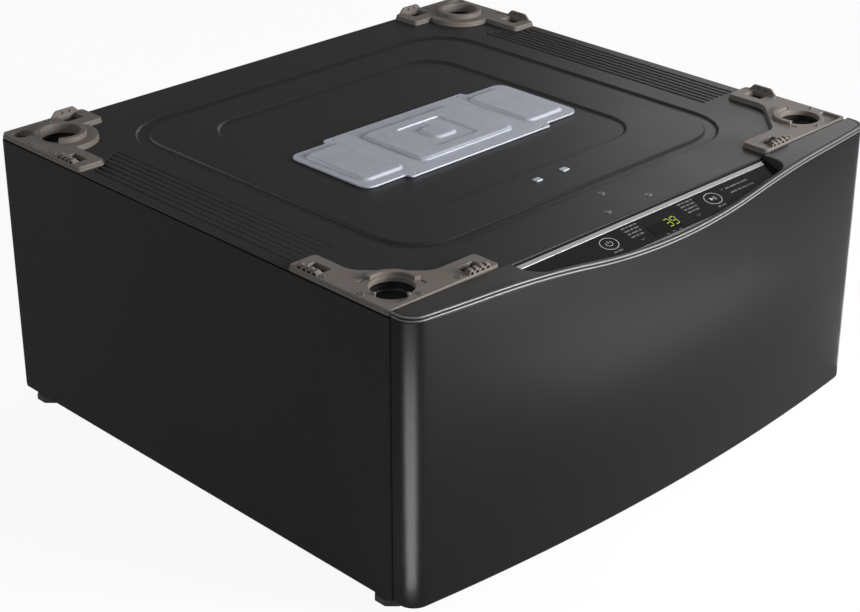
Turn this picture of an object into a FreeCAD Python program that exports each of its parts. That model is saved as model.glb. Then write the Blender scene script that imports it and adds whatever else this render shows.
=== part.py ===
import FreeCAD, Part
import math
import os

# Pedestal washer: a drawer-type washer that carries a front loader on its four corner brackets.
# Millimetres. Origin on the floor under the middle of the machine, +X right, +Y rear, +Z up.

V = FreeCAD.Vector
UP = V(0, 0, 1)

# Cabinet
width = 737.0
cabinet_depth = 650.0
cabinet_height = 323.0
foot_height = 16.0
sheet = 1.2
side_flange = 18.0
fit_gap = 0.3
running_gap = 0.05

# Base frame and levelling feet
base_sheet = 1.5
base_wall = 24.0
foot_plate = 44.0
foot_plate_thickness = 9.0
foot_inset_x = 24.0
foot_inset_front = 24.0
foot_inset_rear = 22.0
foot_pad_radius = 20.0
foot_pad_height = 7.0
foot_stud_radius = 5.0
foot_stud_length = 50.0
lock_nut_radius = 9.8
lock_nut_height = 7.0

# Top panel and its stampings, measured from the cabinet's edges
top_edge_margin = 2.0
top_front_lip = 14.0
stamp_depth = 1.5
channel_side_margin = 102.5
channel_end_margin = 73.0
channel_wide = 15.0
channel_corner = 70.0
field_side_margin = 183.5
field_front_margin = 155.0
field_rear_margin = 136.0
field_corner = 50.0
groove_count = 7
groove_side_margin = 17.0
groove_end_margin = 158.0
groove_pitch = 8.6
groove_wide = 3.4
groove_depth = 1.0
groove_stagger = 5.0
clip_tab_length = 10.0
clip_tab_wide = 8.0
clip_tab_height = 1.4
clip_tab_spacing = 43.0
clip_tab_from_front = 131.0
cup_depth = 10.0
cup_gap = 0.5
cross_depth = 66.0
cross_height = 16.0

# Stiffener plate on the top panel
plate_end_gap = 13.0
plate_wide = 131.0
plate_forward = 26.0
plate_step_past_pad = 12.0
plate_step = 9.0
plate_thickness = 2.0
plate_corner = 14.0
pad_height = 2.4
pad_corner = 9.0
pad_wide = 102.0
end_pad_margin = 12.0
end_pad_length = 59.0
pad_gap = 28.0
button_half = 17.0
rivet_inset = 4.5
rivet_radius = 1.8

# Corner brackets, measured from the machine's outer corner
bracket_thickness = 6.0
front_arm = 152.0
side_arm = 147.0
arm_wide = 37.0
throat = 93.0
throat_radius = 25.0
bracket_corner = 5.0
front_pocket_x = 40.0
front_pocket_y = 38.0
pocket_radius = 23.0
keyhole_offset = 15.0
keyhole_radius = 16.0
keyhole_depth = 3.5
rear_arm = 114.0
rear_arm_wide = 42.0
rear_side_arm = 151.0
rear_pocket_x = 45.0
rear_pocket_y = 55.0
lobe_radius = 43.0
ring_wall = 6.5
ring_height = 4.5
rib_height = 3.0
rib_setback = 2.0
sink_wide = 9.0
sink_length = 24.0
sink_corner = 4.0
corner_hole_radius = 9.0
corner_hole_inset_x = 14.0
corner_hole_inset_y = 21.0
window_length = 24.0
window_wide = 13.0
window_from_end = 15.0
window_inset = 11.0
tab_length = 30.0
tab_thick = 2.5
tab_rise = 7.0
tab_hole_radius = 1.8
tab_edge = 1.5
tab_past_window = 3.0
louvre_wide = 8.0
louvre_rise = 4.5
louvre_slot = 3.0
louvre_slot_depth = 5.0
louvre_lip = 1.5
screw_radius = 1.8
screw_head_radius = 4.0
screw_head_height = 1.4
screw_length = 10.0
screw_edge = 7.4
front_screw_offset = 8.0
rear_screw_offset = 16.0
rear_screw_reach = 39.0
top_screw_spacing = 66.0
top_screw_front = 19.0
top_screw_rear = 57.0

# Drawer front
front_gap = 2.5
front_edge_depth = 29.0
front_bow = 24.0
front_corner_radius = 14.0
front_skin = 1.5
trim_height = 6.0
trim_depth = 4.0
trim_groove = 1.2
trim_bead = 1.8
dip_depth = 20.0
dip_half_width = 270.0
cap_depth = 49.0
cap_wall = 3.0
recess_half_width = 207.0
recess_corner = 25.0
recess_lip = 1.5
face_rear_drop = 8.0
face_front_drop = 21.5
face_thickness = 2.0
strip_end_gap = 7.0
strip_wide = 6.5
strip_rise = 0.8
strip_inset = 1.5
lens_half_length = 23.0
lens_wide = 17.0
lens_rise = 0.4
lens_front_margin = 7.0
board_half_length = 150.0
board_wide = 22.0
board_thickness = 1.6
standoff_radius = 3.0
standoff_length = 8.0

# Runners
rail_clearance = 5.5
rail_thickness = 15.0
rail_height = 48.0
rail_wall = 3.0
rail_above_floor = 66.0
rail_front_inset = 8.0
rail_rear_inset = 9.0
rail_bracket_length = 34.0
rail_bracket_count = 3

# Drawer tray and cover
tray_lift = 28.0
tray_sheet = 1.5
rear_space = 58.0
cover_drop = 43.0
cover_thickness = 3.0
cover_hole_gap = 18.0
hinge_notch_half = 56.0
hinge_notch_depth = 30.0
gusset_thickness = 3.0
gusset_drop = 8.0
gusset_margin = 13.0
funnel_length = 66.0
funnel_wide = 56.0
funnel_depth = 30.0
funnel_wall = 2.0
funnel_inset = 9.0

# Tub, basket and drive, about the upright wash axis
tub_clearance = 25.0
tub_wall = 3.0
tub_floor_lift = 52.0
tub_bottom_corner = 18.0
tub_flange = 6.0
tub_cover_drop = 12.0
mouth_radius = 156.0
collar_wall = 3.0
seal_wide = 14.0
seal_height = 3.0
lid_overhang = 13.0
lid_height = 7.0
lid_window_radius = 118.0
lid_window_thickness = 4.0
lid_window_rebate = 4.0
lid_grip_half = 34.0
lid_grip_depth = 9.0
hinge_offset = 11.0
hinge_pin_radius = 2.0
hinge_ear_x = 26.0
hinge_post_x = 42.0
hinge_ear_wide = 10.0
basket_gap = 20.0
basket_sheet = 1.2
basket_lift = 11.0
basket_bottom_corner = 22.0
basket_rim_drop = 12.0
balance_wide = 30.0
balance_height = 22.0
hub_radius = 62.0
hub_thickness = 5.0
pulsator_radius = 150.0
pulsator_lift = 3.0
pulsator_thickness = 9.0
pulsator_crown = 46.0
pulsator_crown_height = 10.0
vane_count = 5
vane_wide = 12.0
vane_height = 7.0
shaft_radius = 9.0
sleeve_radius = 14.0
bearing_radius = 20.0
bearing_height = 12.0
housing_flange_radius = 75.0
housing_flange = 8.0
housing_neck_radius = 28.0
rotor_clearance = 6.5
rotor_radius = 82.0
rotor_wall = 4.0
rotor_floor = 3.0
rotor_height = 32.0
air_gap = 2.0
stator_height = 22.0

# Suspension
ear_reach = 24.0
ear_radius = 30.0
ear_height = 8.0
ear_above_floor = 30.0
rod_radius = 4.0
rod_slack = 0.5
rod_head_radius = 9.0
rod_head_height = 6.0
rod_foot_lift = 18.0
rod_foot_height = 4.0
spring_radius = 15.0
spring_wire = 4.0

# Pump and boards in the tray's rear corners
pump_inset_side = 60.0
pump_inset_rear = 36.5
pump_radius = 34.0
pump_wall = 4.0
pump_height = 46.0
pump_motor_radius = 28.0
pump_motor_height = 30.0
impeller_radius = 24.0
impeller_height = 12.0
impeller_shaft_radius = 3.0
vane_thickness = 3.0
sump_inset = 40.0
sump_angle = 100.0
sump_stub_length = 8.0
sump_hose_radius = 11.0
sump_hose_lift = 5.5
sump_bend = 13.0
case_spring_gap = 17.0
case_depth = 80.0
case_height = 70.0
case_inset = 10.0

# Rear ports and flexible loops to the drawer
port_length = 22.0
port_height = 120.0
port_block_depth = 36.0
port_block_half = 20.0
inlet_inset = 188.5
inlet_spacing = 60.0
inlet_radius = 13.3
drain_inset = 168.5
drain_port_radius = 11.0
gland_inset = 78.5
gland_radius = 9.0
port_collar = 2.0
stub_length = 10.0
loop_height = 15.0
loop_reach = 300.0
loop_corner = 24.0
clamp_depth = 30.0
clamp_half = 15.0
clamp_from_rear = 24.0
drain_hose_radius = 10.0
drain_loop = 60.0
fill_hose_radius = 8.0
fill_loop = 52.0
harness_radius = 5.0
harness_loop = 30.0
vent_count = 8
vent_length = 90.0
vent_wide = 5.0
vent_pitch = 14.0

# Derived levels
half = width / 2
front_reach = front_edge_depth + front_bow
y_front = front_reach - (front_reach + cabinet_depth + port_length) / 2
y_back = y_front + cabinet_depth
y_rear_of_front = y_front - front_gap
z_bottom = foot_height
z_top = z_bottom + cabinet_height
z_deck = z_top + bracket_thickness
z_flange = z_top - sheet
inner_half = half - sheet
opening_half = half - side_flange
top_flange = groove_side_margin - groove_wide / 2 - sheet - fit_gap
rail_outer_x = opening_half - rail_clearance
tray_half = rail_outer_x - rail_thickness
tray_z = z_bottom + tray_lift
tray_floor = tray_z + tray_sheet
tray_back = y_back - rear_space
cover_z = z_top - cover_drop
rail_z = tray_z + rail_above_floor
rail_y0 = y_front + rail_front_inset
rail_y1 = tray_back - rail_rear_inset
tray_inner_front = y_rear_of_front + tray_sheet
tray_inner_back = tray_back - tray_sheet
tray_inner_half = tray_half - tray_sheet
wash_y = (tray_inner_front + tray_inner_back) / 2
tub_radius = min(tray_inner_half, (tray_inner_back - tray_inner_front) / 2) - tub_clearance
tub_floor_z = tray_z + tub_floor_lift
tub_top = cover_z - tub_cover_drop
basket_radius = tub_radius - tub_wall - basket_gap
basket_floor = tub_floor_z + tub_wall + basket_lift
basket_top = tub_top - basket_rim_drop
pulsator_z = basket_floor + basket_sheet + pulsator_lift
rotor_z = tray_floor + rotor_clearance
sleeve_bottom = rotor_z + rotor_floor + air_gap
housing_bottom = sleeve_bottom + fit_gap
lid_z = cover_z + seal_height
lid_radius = mouth_radius + lid_overhang
hinge_barrel_radius = lid_height / 2
hinge_y = wash_y + lid_radius + hinge_offset
hinge_z = lid_z + hinge_barrel_radius
ear_z = tub_floor_z + ear_above_floor
ear_offset = (tub_radius + ear_reach) * math.sqrt(0.5)
gusset_z = cover_z - funnel_depth - gusset_drop
pump_x = -(tray_inner_half - pump_inset_side)
pump_y = tray_inner_back - pump_inset_rear
inlet_x = half - inlet_inset
drain_x = drain_inset - half
gland_x = half - gland_inset
port_z = z_bottom + port_height
port_y = y_back - sheet - port_block_depth / 2
loop_z = z_bottom + loop_height
clamp_y = tray_back - clamp_from_rear - clamp_depth


def box(x0, x1, y0, y1, z0, z1):
    """A block between two opposite corners."""
    return Part.makeBox(x1 - x0, y1 - y0, z1 - z0, V(x0, y0, z0))


def rod(radius, x, y, z0, z1):
    """An upright cylinder."""
    return Part.makeCylinder(radius, z1 - z0, V(x, y, z0))


def ring(outer, inner, x, y, z0, z1):
    """An upright tube."""
    return rod(outer, x, y, z0, z1).cut(rod(inner, x, y, z0, z1))


def join(shapes):
    """One solid out of several that touch."""
    result = shapes[0]
    if len(shapes) > 1:
        result = result.fuse(shapes[1:])
    return result.removeSplitter()


def group(shapes):
    """Separate solids kept in one node."""
    return Part.makeCompound(shapes)


def mirrored(shape):
    """The same shape on the other side of the machine's middle plane."""
    return shape.mirror(V(0, 0, 0), V(1, 0, 0))


def rounded_wire(points, radii, closed=True):
    """Straight runs through the points, with a tangent arc of the given radius at each one."""
    count = len(points)
    stops = []
    for i, point in enumerate(points):
        end_point = not closed and i in (0, count - 1)
        if end_point or radii[i] <= 0:
            stops.append((point, None, point))
            continue
        back = (points[i - 1] - point).normalize()
        ahead = (points[(i + 1) % count] - point).normalize()
        half_angle = back.getAngle(ahead) / 2
        reach = radii[i] / math.tan(half_angle)
        bisector = (back + ahead).normalize()
        centre_distance = radii[i] / math.sin(half_angle)
        middle = point + bisector * (centre_distance - radii[i])
        stops.append((point + back * reach, middle, point + ahead * reach))
    edges = []
    for i, (start, middle, end) in enumerate(stops):
        if middle is not None:
            edges.append(Part.Arc(start, middle, end).toShape())
        if i + 1 < count or closed:
            following = stops[(i + 1) % count][0]
            if end.distanceToPoint(following) > 1e-6:
                edges.append(Part.LineSegment(end, following).toShape())
    return Part.Wire(edges)


def prism(outline, radii, z0, z1):
    """An upright prism over a rounded outline of (x, y) points."""
    points = [V(x, y, z0) for x, y in outline]
    if not isinstance(radii, list):
        radii = [radii] * len(points)
    return Part.Face(rounded_wire(points, radii)).extrude(V(0, 0, z1 - z0))


def slab(x0, x1, y0, y1, z0, z1, radius):
    """A block with rounded upright edges."""
    return prism([(x0, y0), (x1, y0), (x1, y1), (x0, y1)], radius, z0, z1)


def turned(outline, radii, x, y):
    """A solid of revolution about an upright axis from (radius, z) points."""
    points = [V(x + r, y, z) for r, z in outline]
    return Part.Face(rounded_wire(points, radii)).revolve(V(x, y, 0), UP, 360)


def tube(points, radius, bend):
    """A round bar along straight runs joined by tangent arcs."""
    path = rounded_wire(points, [bend] * len(points), closed=False)
    start = points[0]
    section = Part.Wire(Part.Circle(start, points[1] - start, radius).toShape())
    return path.makePipeShell([section], True, False)


def foot_places():
    """Centres of the four levelling feet, named."""
    x = half - foot_inset_x
    front = y_front + foot_inset_front
    rear = y_back - foot_inset_rear
    return {"front_left": (-x, front), "front_right": (x, front),
            "rear_left": (-x, rear), "rear_right": (x, rear)}


def base_frame():
    """Floor pan with side and front walls and thick foot plates at the corners."""
    y0 = y_front + sheet
    y1 = y_back - 2 * sheet
    floor_top = z_bottom + base_sheet
    wall_top = z_bottom + base_wall
    pieces = [
        box(-inner_half, inner_half, y0, y1, z_bottom, floor_top),
        box(-inner_half, -inner_half + base_sheet, y0, y1, floor_top, wall_top),
        box(inner_half - base_sheet, inner_half, y0, y1, floor_top, wall_top),
        box(-inner_half, inner_half, y0, y0 + base_sheet, floor_top, wall_top),
    ]
    pan = box(-inner_half, inner_half, y0, y1, z_bottom, wall_top)
    plate_half = foot_plate / 2
    plate_top = floor_top + foot_plate_thickness
    for x, y in foot_places().values():
        pieces.append(box(x - plate_half, x + plate_half, y - plate_half, y + plate_half,
                          z_bottom, plate_top).common(pan))
    frame = join(pieces)
    for x, y in foot_places().values():
        frame = frame.cut(rod(foot_stud_radius + fit_gap, x, y, z_bottom, plate_top))
    return frame


def levelling_foot(x, y):
    """Eight-sided pad with a threaded stud that goes up through the foot plate."""
    corners = [math.radians(22.5 + 45 * i) for i in range(8)]
    outline = [(x + foot_pad_radius * math.cos(a), y + foot_pad_radius * math.sin(a)) for a in corners]
    pad = prism(outline, 0, 0, foot_pad_height)
    return join([pad, rod(foot_stud_radius, x, y, foot_pad_height, foot_pad_height + foot_stud_length)])


def lock_nuts():
    """One hexagon nut on each stud, tight against the base."""
    nuts = []
    for x, y in foot_places().values():
        corners = [math.radians(60 * i) for i in range(6)]
        outline = [(x + lock_nut_radius * math.cos(a), y + lock_nut_radius * math.sin(a)) for a in corners]
        nut = prism(outline, 0, z_bottom - lock_nut_height, z_bottom)
        nuts.append(nut.cut(rod(foot_stud_radius + fit_gap, x, y, 0, z_bottom)))
    return group(nuts)


def left_side_panel():
    """Folded side sheet with a flange along the top, front and rear."""
    x0 = -half
    flange_x = x0 + side_flange
    panel = join([
        box(x0, x0 + sheet, y_front, y_back, z_bottom, z_flange),
        box(x0, x0 + top_flange, y_front, y_back - sheet, z_flange - sheet, z_flange),
        box(x0, flange_x, y_front, y_front + sheet, z_bottom, z_flange),
        box(x0, flange_x, y_back - 2 * sheet, y_back - sheet, z_bottom, z_flange),
    ])
    panel = panel.cut(screw_clearance(bracket_screw_places(), z_flange - sheet, z_flange))
    return panel.cut(cup_clearance())


def screw_clearance(places, z0, z1):
    """Cutting rods for screw holes."""
    return [rod(screw_radius + fit_gap, x, y, z0, z1) for x, y in places]


def port_places():
    """Centres and hole radii of what goes through the rear panel."""
    inlets = [(inlet_x + side * inlet_spacing / 2, inlet_radius) for side in (-1, 1)]
    return inlets + [(drain_x, drain_port_radius), (gland_x, gland_radius)]


def rear_panel():
    """Flat sheet with port holes and a row of vents."""
    panel = box(-inner_half, inner_half, y_back - sheet, y_back, z_bottom, z_flange)
    for x, radius in port_places():
        hole_radius = radius + port_collar + fit_gap
        hole = Part.makeCylinder(hole_radius, sheet, V(x, y_back - sheet, port_z), V(0, 1, 0))
        panel = panel.cut(hole)
    first = z_top - 2 * cover_drop
    for i in range(vent_count):
        z = first - i * vent_pitch
        panel = panel.cut(box(-vent_length / 2, vent_length / 2, y_back - sheet, y_back, z, z + vent_wide))
    return panel


def sunk(outline_of, depth):
    """The outer and inner block of a stamping whose outline grows with its argument."""
    outer = outline_of(sheet, z_top - depth - sheet, z_top)
    inner = outline_of(0, z_top - depth, z_top)
    return outer, inner


def channel_block(grow, z0, z1):
    """The rounded frame-shaped channel."""
    outer = sunk_slab(channel_side_margin - grow, channel_end_margin - grow, channel_end_margin - grow,
                      z0, z1, channel_corner + grow)
    step = channel_wide + grow
    inner = sunk_slab(channel_side_margin + step, channel_end_margin + step, channel_end_margin + step,
                      z0, z1, channel_corner - step)
    return outer.cut(inner)


def sunk_slab(side, front, rear, z0, z1, radius):
    """A rounded block by its margins from the cabinet's edges."""
    return slab(side - half, half - side, y_front + front, y_back - rear, z0, z1, radius)


def field_block(grow, z0, z1):
    """The rounded field in the middle."""
    return sunk_slab(field_side_margin - grow, field_front_margin - grow, field_rear_margin - grow,
                     z0, z1, field_corner + grow)


def groove_blocks(grow, z0, z1):
    """Parallel grooves along both edges, with staggered rear ends."""
    blocks = []
    for i in range(groove_count):
        x = half - groove_side_margin - i * groove_pitch
        r = groove_wide / 2 + grow
        y0 = y_front + groove_end_margin
        y1 = y_back - groove_end_margin + i * groove_stagger
        block = join([box(x - r, x + r, y0, y1, z0, z1), rod(r, x, y0, z0, z1), rod(r, x, y1, z0, z1)])
        blocks += [block, mirrored(block)]
    return group(blocks)


def pocket_places():
    """Centres of the four foot pockets."""
    front_x = half - front_pocket_x
    rear_x = half - rear_pocket_x
    front = y_front + front_pocket_y
    rear = y_back - rear_pocket_y
    return [(-front_x, front), (front_x, front), (-rear_x, rear), (rear_x, rear)]


def cup_blocks(grow, z0, z1):
    """Round cups under the brackets' foot pockets."""
    return group([rod(pocket_radius + cup_gap + grow, x, y, z0, z1) for x, y in pocket_places()])


def cup_clearance():
    """Cutting rods that let the cups pass through the flanges under the top panel."""
    return cup_blocks(sheet + fit_gap, z_flange - sheet, z_flange).Solids


def top_panel():
    """Stamped top sheet with a front lip, cups, holes for the screws and two small raised tabs."""
    x = half - top_edge_margin
    lip_x = opening_half - fit_gap
    pieces = [
        box(-x, x, y_front, y_back, z_flange, z_top),
        box(-lip_x, lip_x, y_front, y_front + sheet, z_top - top_front_lip, z_top),
    ]
    cuts = []
    stampings = ((channel_block, stamp_depth), (field_block, stamp_depth), (groove_blocks, groove_depth),
                 (cup_blocks, cup_depth))
    for outline_of, depth in stampings:
        outer, inner = sunk(outline_of, depth)
        pieces += outer.Solids
        cuts += inner.Solids
    y = y_front + clip_tab_from_front
    for side in (-1, 1):
        tab_x = side * clip_tab_spacing / 2
        pieces.append(box(tab_x - clip_tab_length / 2, tab_x + clip_tab_length / 2, y - clip_tab_wide / 2,
                          y + clip_tab_wide / 2, z_flange, z_top + clip_tab_height))
    panel = join(pieces).cut(group(cuts))
    return panel.cut(screw_clearance(top_screw_places() + bracket_screw_places(), z_flange, z_top))


def top_screw_places():
    """The three screws that hold the top panel to the cross member."""
    front = y_front + top_screw_front
    rear = y_front + top_screw_rear
    return [(-top_screw_spacing / 2, front), (top_screw_spacing / 2, front), (0, rear)]


def front_cross_member():
    """Angle under the top panel's front edge, between the side panels' top flanges."""
    x = half - top_flange
    y0 = y_front + sheet
    cross = join([
        box(-x, x, y0, y_front + cross_depth, z_flange - sheet, z_flange),
        box(-x, x, y0, y0 + sheet, z_flange - cross_height, z_flange),
    ])
    cross = cross.cut(screw_clearance(top_screw_places() + bracket_screw_places(), z_flange - sheet, z_flange))
    return cross.cut(cup_clearance())


def stiffener_plate():
    """Zinc-coated plate with a stepped outline, three raised pads and rivet holes."""
    z0 = z_top - stamp_depth
    z1 = z0 + plate_thickness
    plate_y = (y_front + field_front_margin + y_back - field_rear_margin) / 2 - plate_forward
    front = plate_y - plate_wide / 2
    rear = plate_y + plate_wide / 2
    plate_half = half - field_side_margin - plate_end_gap
    end_pad_outer = plate_half - end_pad_margin
    end_pad_inner = end_pad_outer - end_pad_length
    centre_half = end_pad_inner - pad_gap
    step_half = end_pad_inner + plate_step_past_pad
    ends = slab(-plate_half, plate_half, front, rear, z0, z1, plate_corner)
    middle = slab(-step_half, step_half, front - plate_step, rear + plate_step, z0, z1, plate_step / 2)
    pad_y0 = plate_y - pad_wide / 2
    pad_y1 = plate_y + pad_wide / 2
    end_pad = slab(end_pad_inner, end_pad_outer, pad_y0, pad_y1, z1, z1 + pad_height, pad_corner)
    centre_pad = slab(-centre_half, centre_half, pad_y0, pad_y1, z1, z1 + pad_height, pad_corner)
    button = slab(-button_half, button_half, plate_y - button_half, plate_y + button_half, z1,
                  z1 + 2 * pad_height, pad_corner)
    plate = join([ends, middle, end_pad, mirrored(end_pad), centre_pad, button])
    for x in (-end_pad_inner, 0, end_pad_inner):
        for y in (front - plate_step + rivet_inset, rear + plate_step - rivet_inset):
            plate = plate.cut(rod(rivet_radius, x, y, z0, z1))
    return plate


def placed(shape, right, rear):
    """A bracket drawn from its outer corner, put on one corner of the top panel."""
    if right:
        shape = mirrored(shape)
    if rear:
        shape = shape.mirror(V(0, 0, 0), V(0, 1, 0))
    return shape.translated(V(half if right else -half, y_back if rear else y_front, z_top))


def window(end, along_x):
    """Cutting block for the window near an arm's end."""
    a0 = end - window_from_end - window_length
    a1 = end - window_from_end
    b0 = window_inset
    b1 = window_inset + window_wide
    if along_x:
        return box(a0, a1, b0, b1, 0, bracket_thickness)
    return box(b0, b1, a0, a1, 0, bracket_thickness)


def upright_tab(end, along_x):
    """Upright tab with two holes at the outer edge of an arm."""
    a1 = end - window_from_end + tab_past_window
    a0 = a1 - tab_length
    z1 = bracket_thickness + tab_rise
    tab = box(a0, a1, tab_edge, tab_edge + tab_thick, 0, z1)
    tab = tab.makeFillet(tab_rise / 2, [edge for edge in tab.Edges if is_upper_corner(edge, z1)])
    for a in (a0 + tab_length / 3, a1 - tab_length / 3):
        z = bracket_thickness + tab_rise / 2
        tab = tab.cut(Part.makeCylinder(tab_hole_radius, tab_thick, V(a, tab_edge, z), V(0, 1, 0)))
    if along_x:
        return tab
    return swapped(tab)


def is_upper_corner(edge, z):
    """True for the short edges across a tab at its top."""
    across = abs(edge.Vertexes[0].Y - edge.Vertexes[-1].Y) > 1e-6
    return across and all(abs(vertex.Z - z) < 1e-6 for vertex in edge.Vertexes)


def swapped(shape):
    """The shape with its two arm directions exchanged."""
    return shape.mirror(V(0, 0, 0), V(1, -1, 0))


def louvre_tab(end, along_x):
    """Low block with three slots beside a window."""
    a1 = end - window_from_end + tab_past_window
    a0 = a1 - tab_length
    z1 = bracket_thickness + louvre_rise
    block = box(a0, a1, tab_edge, tab_edge + louvre_wide, 0, z1)
    step = tab_length / 4
    for i in range(1, 4):
        a = a0 + i * step - louvre_slot / 2
        block = block.cut(box(a, a + louvre_slot, tab_edge, tab_edge + louvre_wide - louvre_lip,
                              z1 - louvre_slot_depth, z1))
    if along_x:
        return block
    return swapped(block)


def arm_ends(plate, ends):
    """Windows and tabs on a bracket's two arms: each end is (length, along_x, tab)."""
    for end, along_x, tab in ends:
        plate = plate.cut(window(end, along_x))
        plate = plate.fuse(tab(end, along_x))
    return plate.removeSplitter()


def front_bracket_plate():
    """L-shaped plate with a wide throat round its foot pocket."""
    outline = [(0, 0), (front_arm, 0), (front_arm, arm_wide), (throat, arm_wide), (arm_wide, throat),
               (arm_wide, side_arm), (0, side_arm)]
    c = bracket_corner
    plate = prism(outline, [c, c, c, throat_radius, throat_radius, c, c], 0, bracket_thickness)
    return plate.cut(rod(pocket_radius, front_pocket_x, front_pocket_y, 0, bracket_thickness))


def rear_bracket_plate():
    """L-shaped plate with a round lobe, a raised ring round its foot pocket and a corner hole."""
    outline = [(0, 0), (rear_arm, 0), (rear_arm, rear_arm_wide), (arm_wide, rear_arm_wide),
               (arm_wide, rear_side_arm), (0, rear_side_arm)]
    c = bracket_corner
    plate = prism(outline, [c, c, c, 0, c, c], 0, bracket_thickness)
    lobe = rod(lobe_radius, rear_pocket_x, rear_pocket_y, 0, bracket_thickness)
    boss = rod(pocket_radius + ring_wall, rear_pocket_x, rear_pocket_y, 0, bracket_thickness + ring_height)
    pocket = rod(pocket_radius, rear_pocket_x, rear_pocket_y, 0, bracket_thickness + ring_height)
    corner_hole = rod(corner_hole_radius, corner_hole_inset_x, corner_hole_inset_y, 0, bracket_thickness)
    return join([plate, lobe, boss]).cut([pocket, corner_hole])


def screw_holes(plate, places):
    """Clearance holes for the bracket screws."""
    return plate.cut(screw_clearance(places, 0, bracket_thickness + ring_height))


def front_screw_spots():
    """Screw places on a front bracket, from its outer corner."""
    places = []
    for along_x, along_y in ((front_pocket_x, front_pocket_y), (throat, throat)):
        places.append((along_x + front_screw_offset, screw_edge))
        places.append((screw_edge, along_y + front_screw_offset))
    return places


def rear_screw_spots():
    """Screw places on a rear bracket, from its outer corner."""
    return [(rear_pocket_x + rear_screw_offset, screw_edge), (screw_edge, rear_pocket_y),
            (screw_edge, rear_pocket_y + rear_screw_reach)]


def bracket_screw_places():
    """All bracket screws in the machine's frame."""
    places = []
    for right in (False, True):
        for rear, spots in ((False, front_screw_spots()), (True, rear_screw_spots())):
            for x, y in spots:
                places.append((half - x if right else x - half, y_back - y if rear else y_front + y))
    return places


def pocket_rib():
    """Raised rib round the inner side of a front foot pocket."""
    rib_inner = pocket_radius + rib_setback
    z0 = bracket_thickness
    z1 = bracket_thickness + rib_height
    rib = ring(rib_inner + ring_wall, rib_inner, front_pocket_x, front_pocket_y, z0, z1)
    reach = rib_inner + 2 * ring_wall
    inner_side = prism([(front_pocket_x + reach, front_pocket_y - reach / 2),
                        (front_pocket_x + reach, front_pocket_y + reach),
                        (front_pocket_x - reach / 2, front_pocket_y + reach)], 0, z0, z1)
    return rib.common(inner_side)


def front_left_bracket():
    """Foot pocket with a rib that runs out towards the corner, louvred tabs on both arms."""
    plate = front_bracket_plate()
    keyhole = rod(keyhole_radius, front_pocket_x - keyhole_offset, front_pocket_y - keyhole_offset,
                  bracket_thickness - keyhole_depth, bracket_thickness)
    plate = plate.fuse(pocket_rib()).cut(keyhole)
    plate = arm_ends(plate, [(front_arm, True, louvre_tab), (side_arm, False, louvre_tab)])
    return placed(screw_holes(plate, front_screw_spots()), False, False)


def front_right_bracket():
    """Foot pocket with a raised rib on its inner side and a sunk corner."""
    plate = front_bracket_plate()
    sink = slab(bracket_corner, bracket_corner + sink_wide, bracket_corner, bracket_corner + sink_length,
                bracket_thickness - keyhole_depth, bracket_thickness, sink_corner)
    plate = plate.fuse(pocket_rib()).cut(sink)
    plate = arm_ends(plate, [(front_arm, True, louvre_tab), (side_arm, False, upright_tab)])
    return placed(screw_holes(plate, front_screw_spots()), True, False)


def rear_left_bracket():
    """Ring that is open towards the outer corner, an upright tab and a louvred tab."""
    plate = rear_bracket_plate()
    reach = pocket_radius + ring_wall
    mouth = box(rear_pocket_x - reach, rear_pocket_x - pocket_radius / 2, rear_pocket_y - reach,
                rear_pocket_y, bracket_thickness, bracket_thickness + ring_height)
    plate = plate.cut(mouth)
    plate = arm_ends(plate, [(rear_arm, True, upright_tab), (rear_side_arm, False, louvre_tab)])
    return placed(screw_holes(plate, rear_screw_spots()), False, True)


def rear_right_bracket():
    """Closed ring and an upright tab on each arm."""
    plate = rear_bracket_plate()
    plate = arm_ends(plate, [(rear_arm, True, upright_tab), (rear_side_arm, False, upright_tab)])
    return placed(screw_holes(plate, rear_screw_spots()), True, True)


def screw(x, y, z):
    """A pan-head screw whose head rests at height z."""
    head = rod(screw_head_radius, x, y, z, z + screw_head_height)
    return join([head, rod(screw_radius, x, y, z - screw_length, z)])


def top_screws():
    """Every screw on top: those of the brackets and the three of the top panel."""
    screws = [screw(x, y, z_deck) for x, y in bracket_screw_places()]
    screws += [screw(x, y, z_top) for x, y in top_screw_places()]
    return group(screws)


def front_block(inset, z0, z1, extra_rear=0.0):
    """The drawer front's bowed plan with rounded corners, drawn in by an inset."""
    x = half - inset
    y_edge = y_front - front_edge_depth
    bow_radius = (half ** 2 + front_bow ** 2) / (2 * front_bow)
    centre_y = y_edge - front_bow + bow_radius
    radius = bow_radius - inset
    y_side = centre_y - math.sqrt(radius ** 2 - x ** 2)
    rear = y_rear_of_front + extra_rear
    front = Part.Arc(V(-x, y_side, z0), V(0, centre_y - radius, z0), V(x, y_side, z0)).toShape()
    sides = [
        Part.LineSegment(V(x, y_side, z0), V(x, rear, z0)).toShape(),
        Part.LineSegment(V(x, rear, z0), V(-x, rear, z0)).toShape(),
        Part.LineSegment(V(-x, rear, z0), V(-x, y_side, z0)).toShape(),
    ]
    block = Part.Face(Part.Wire([front] + sides)).extrude(V(0, 0, z1 - z0))
    corners = [edge for edge in block.Edges if is_upright_at(edge, y_side)]
    return block.makeFillet(max(front_corner_radius - inset, front_skin / 2), corners)


def is_upright_at(edge, y):
    """True for an upright edge that stands at the given y."""
    first = edge.Vertexes[0]
    last = edge.Vertexes[-1]
    upright = abs(first.X - last.X) < 1e-6 and abs(first.Y - last.Y) < 1e-6
    return upright and abs(first.Y - y) < 1e-3


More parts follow.
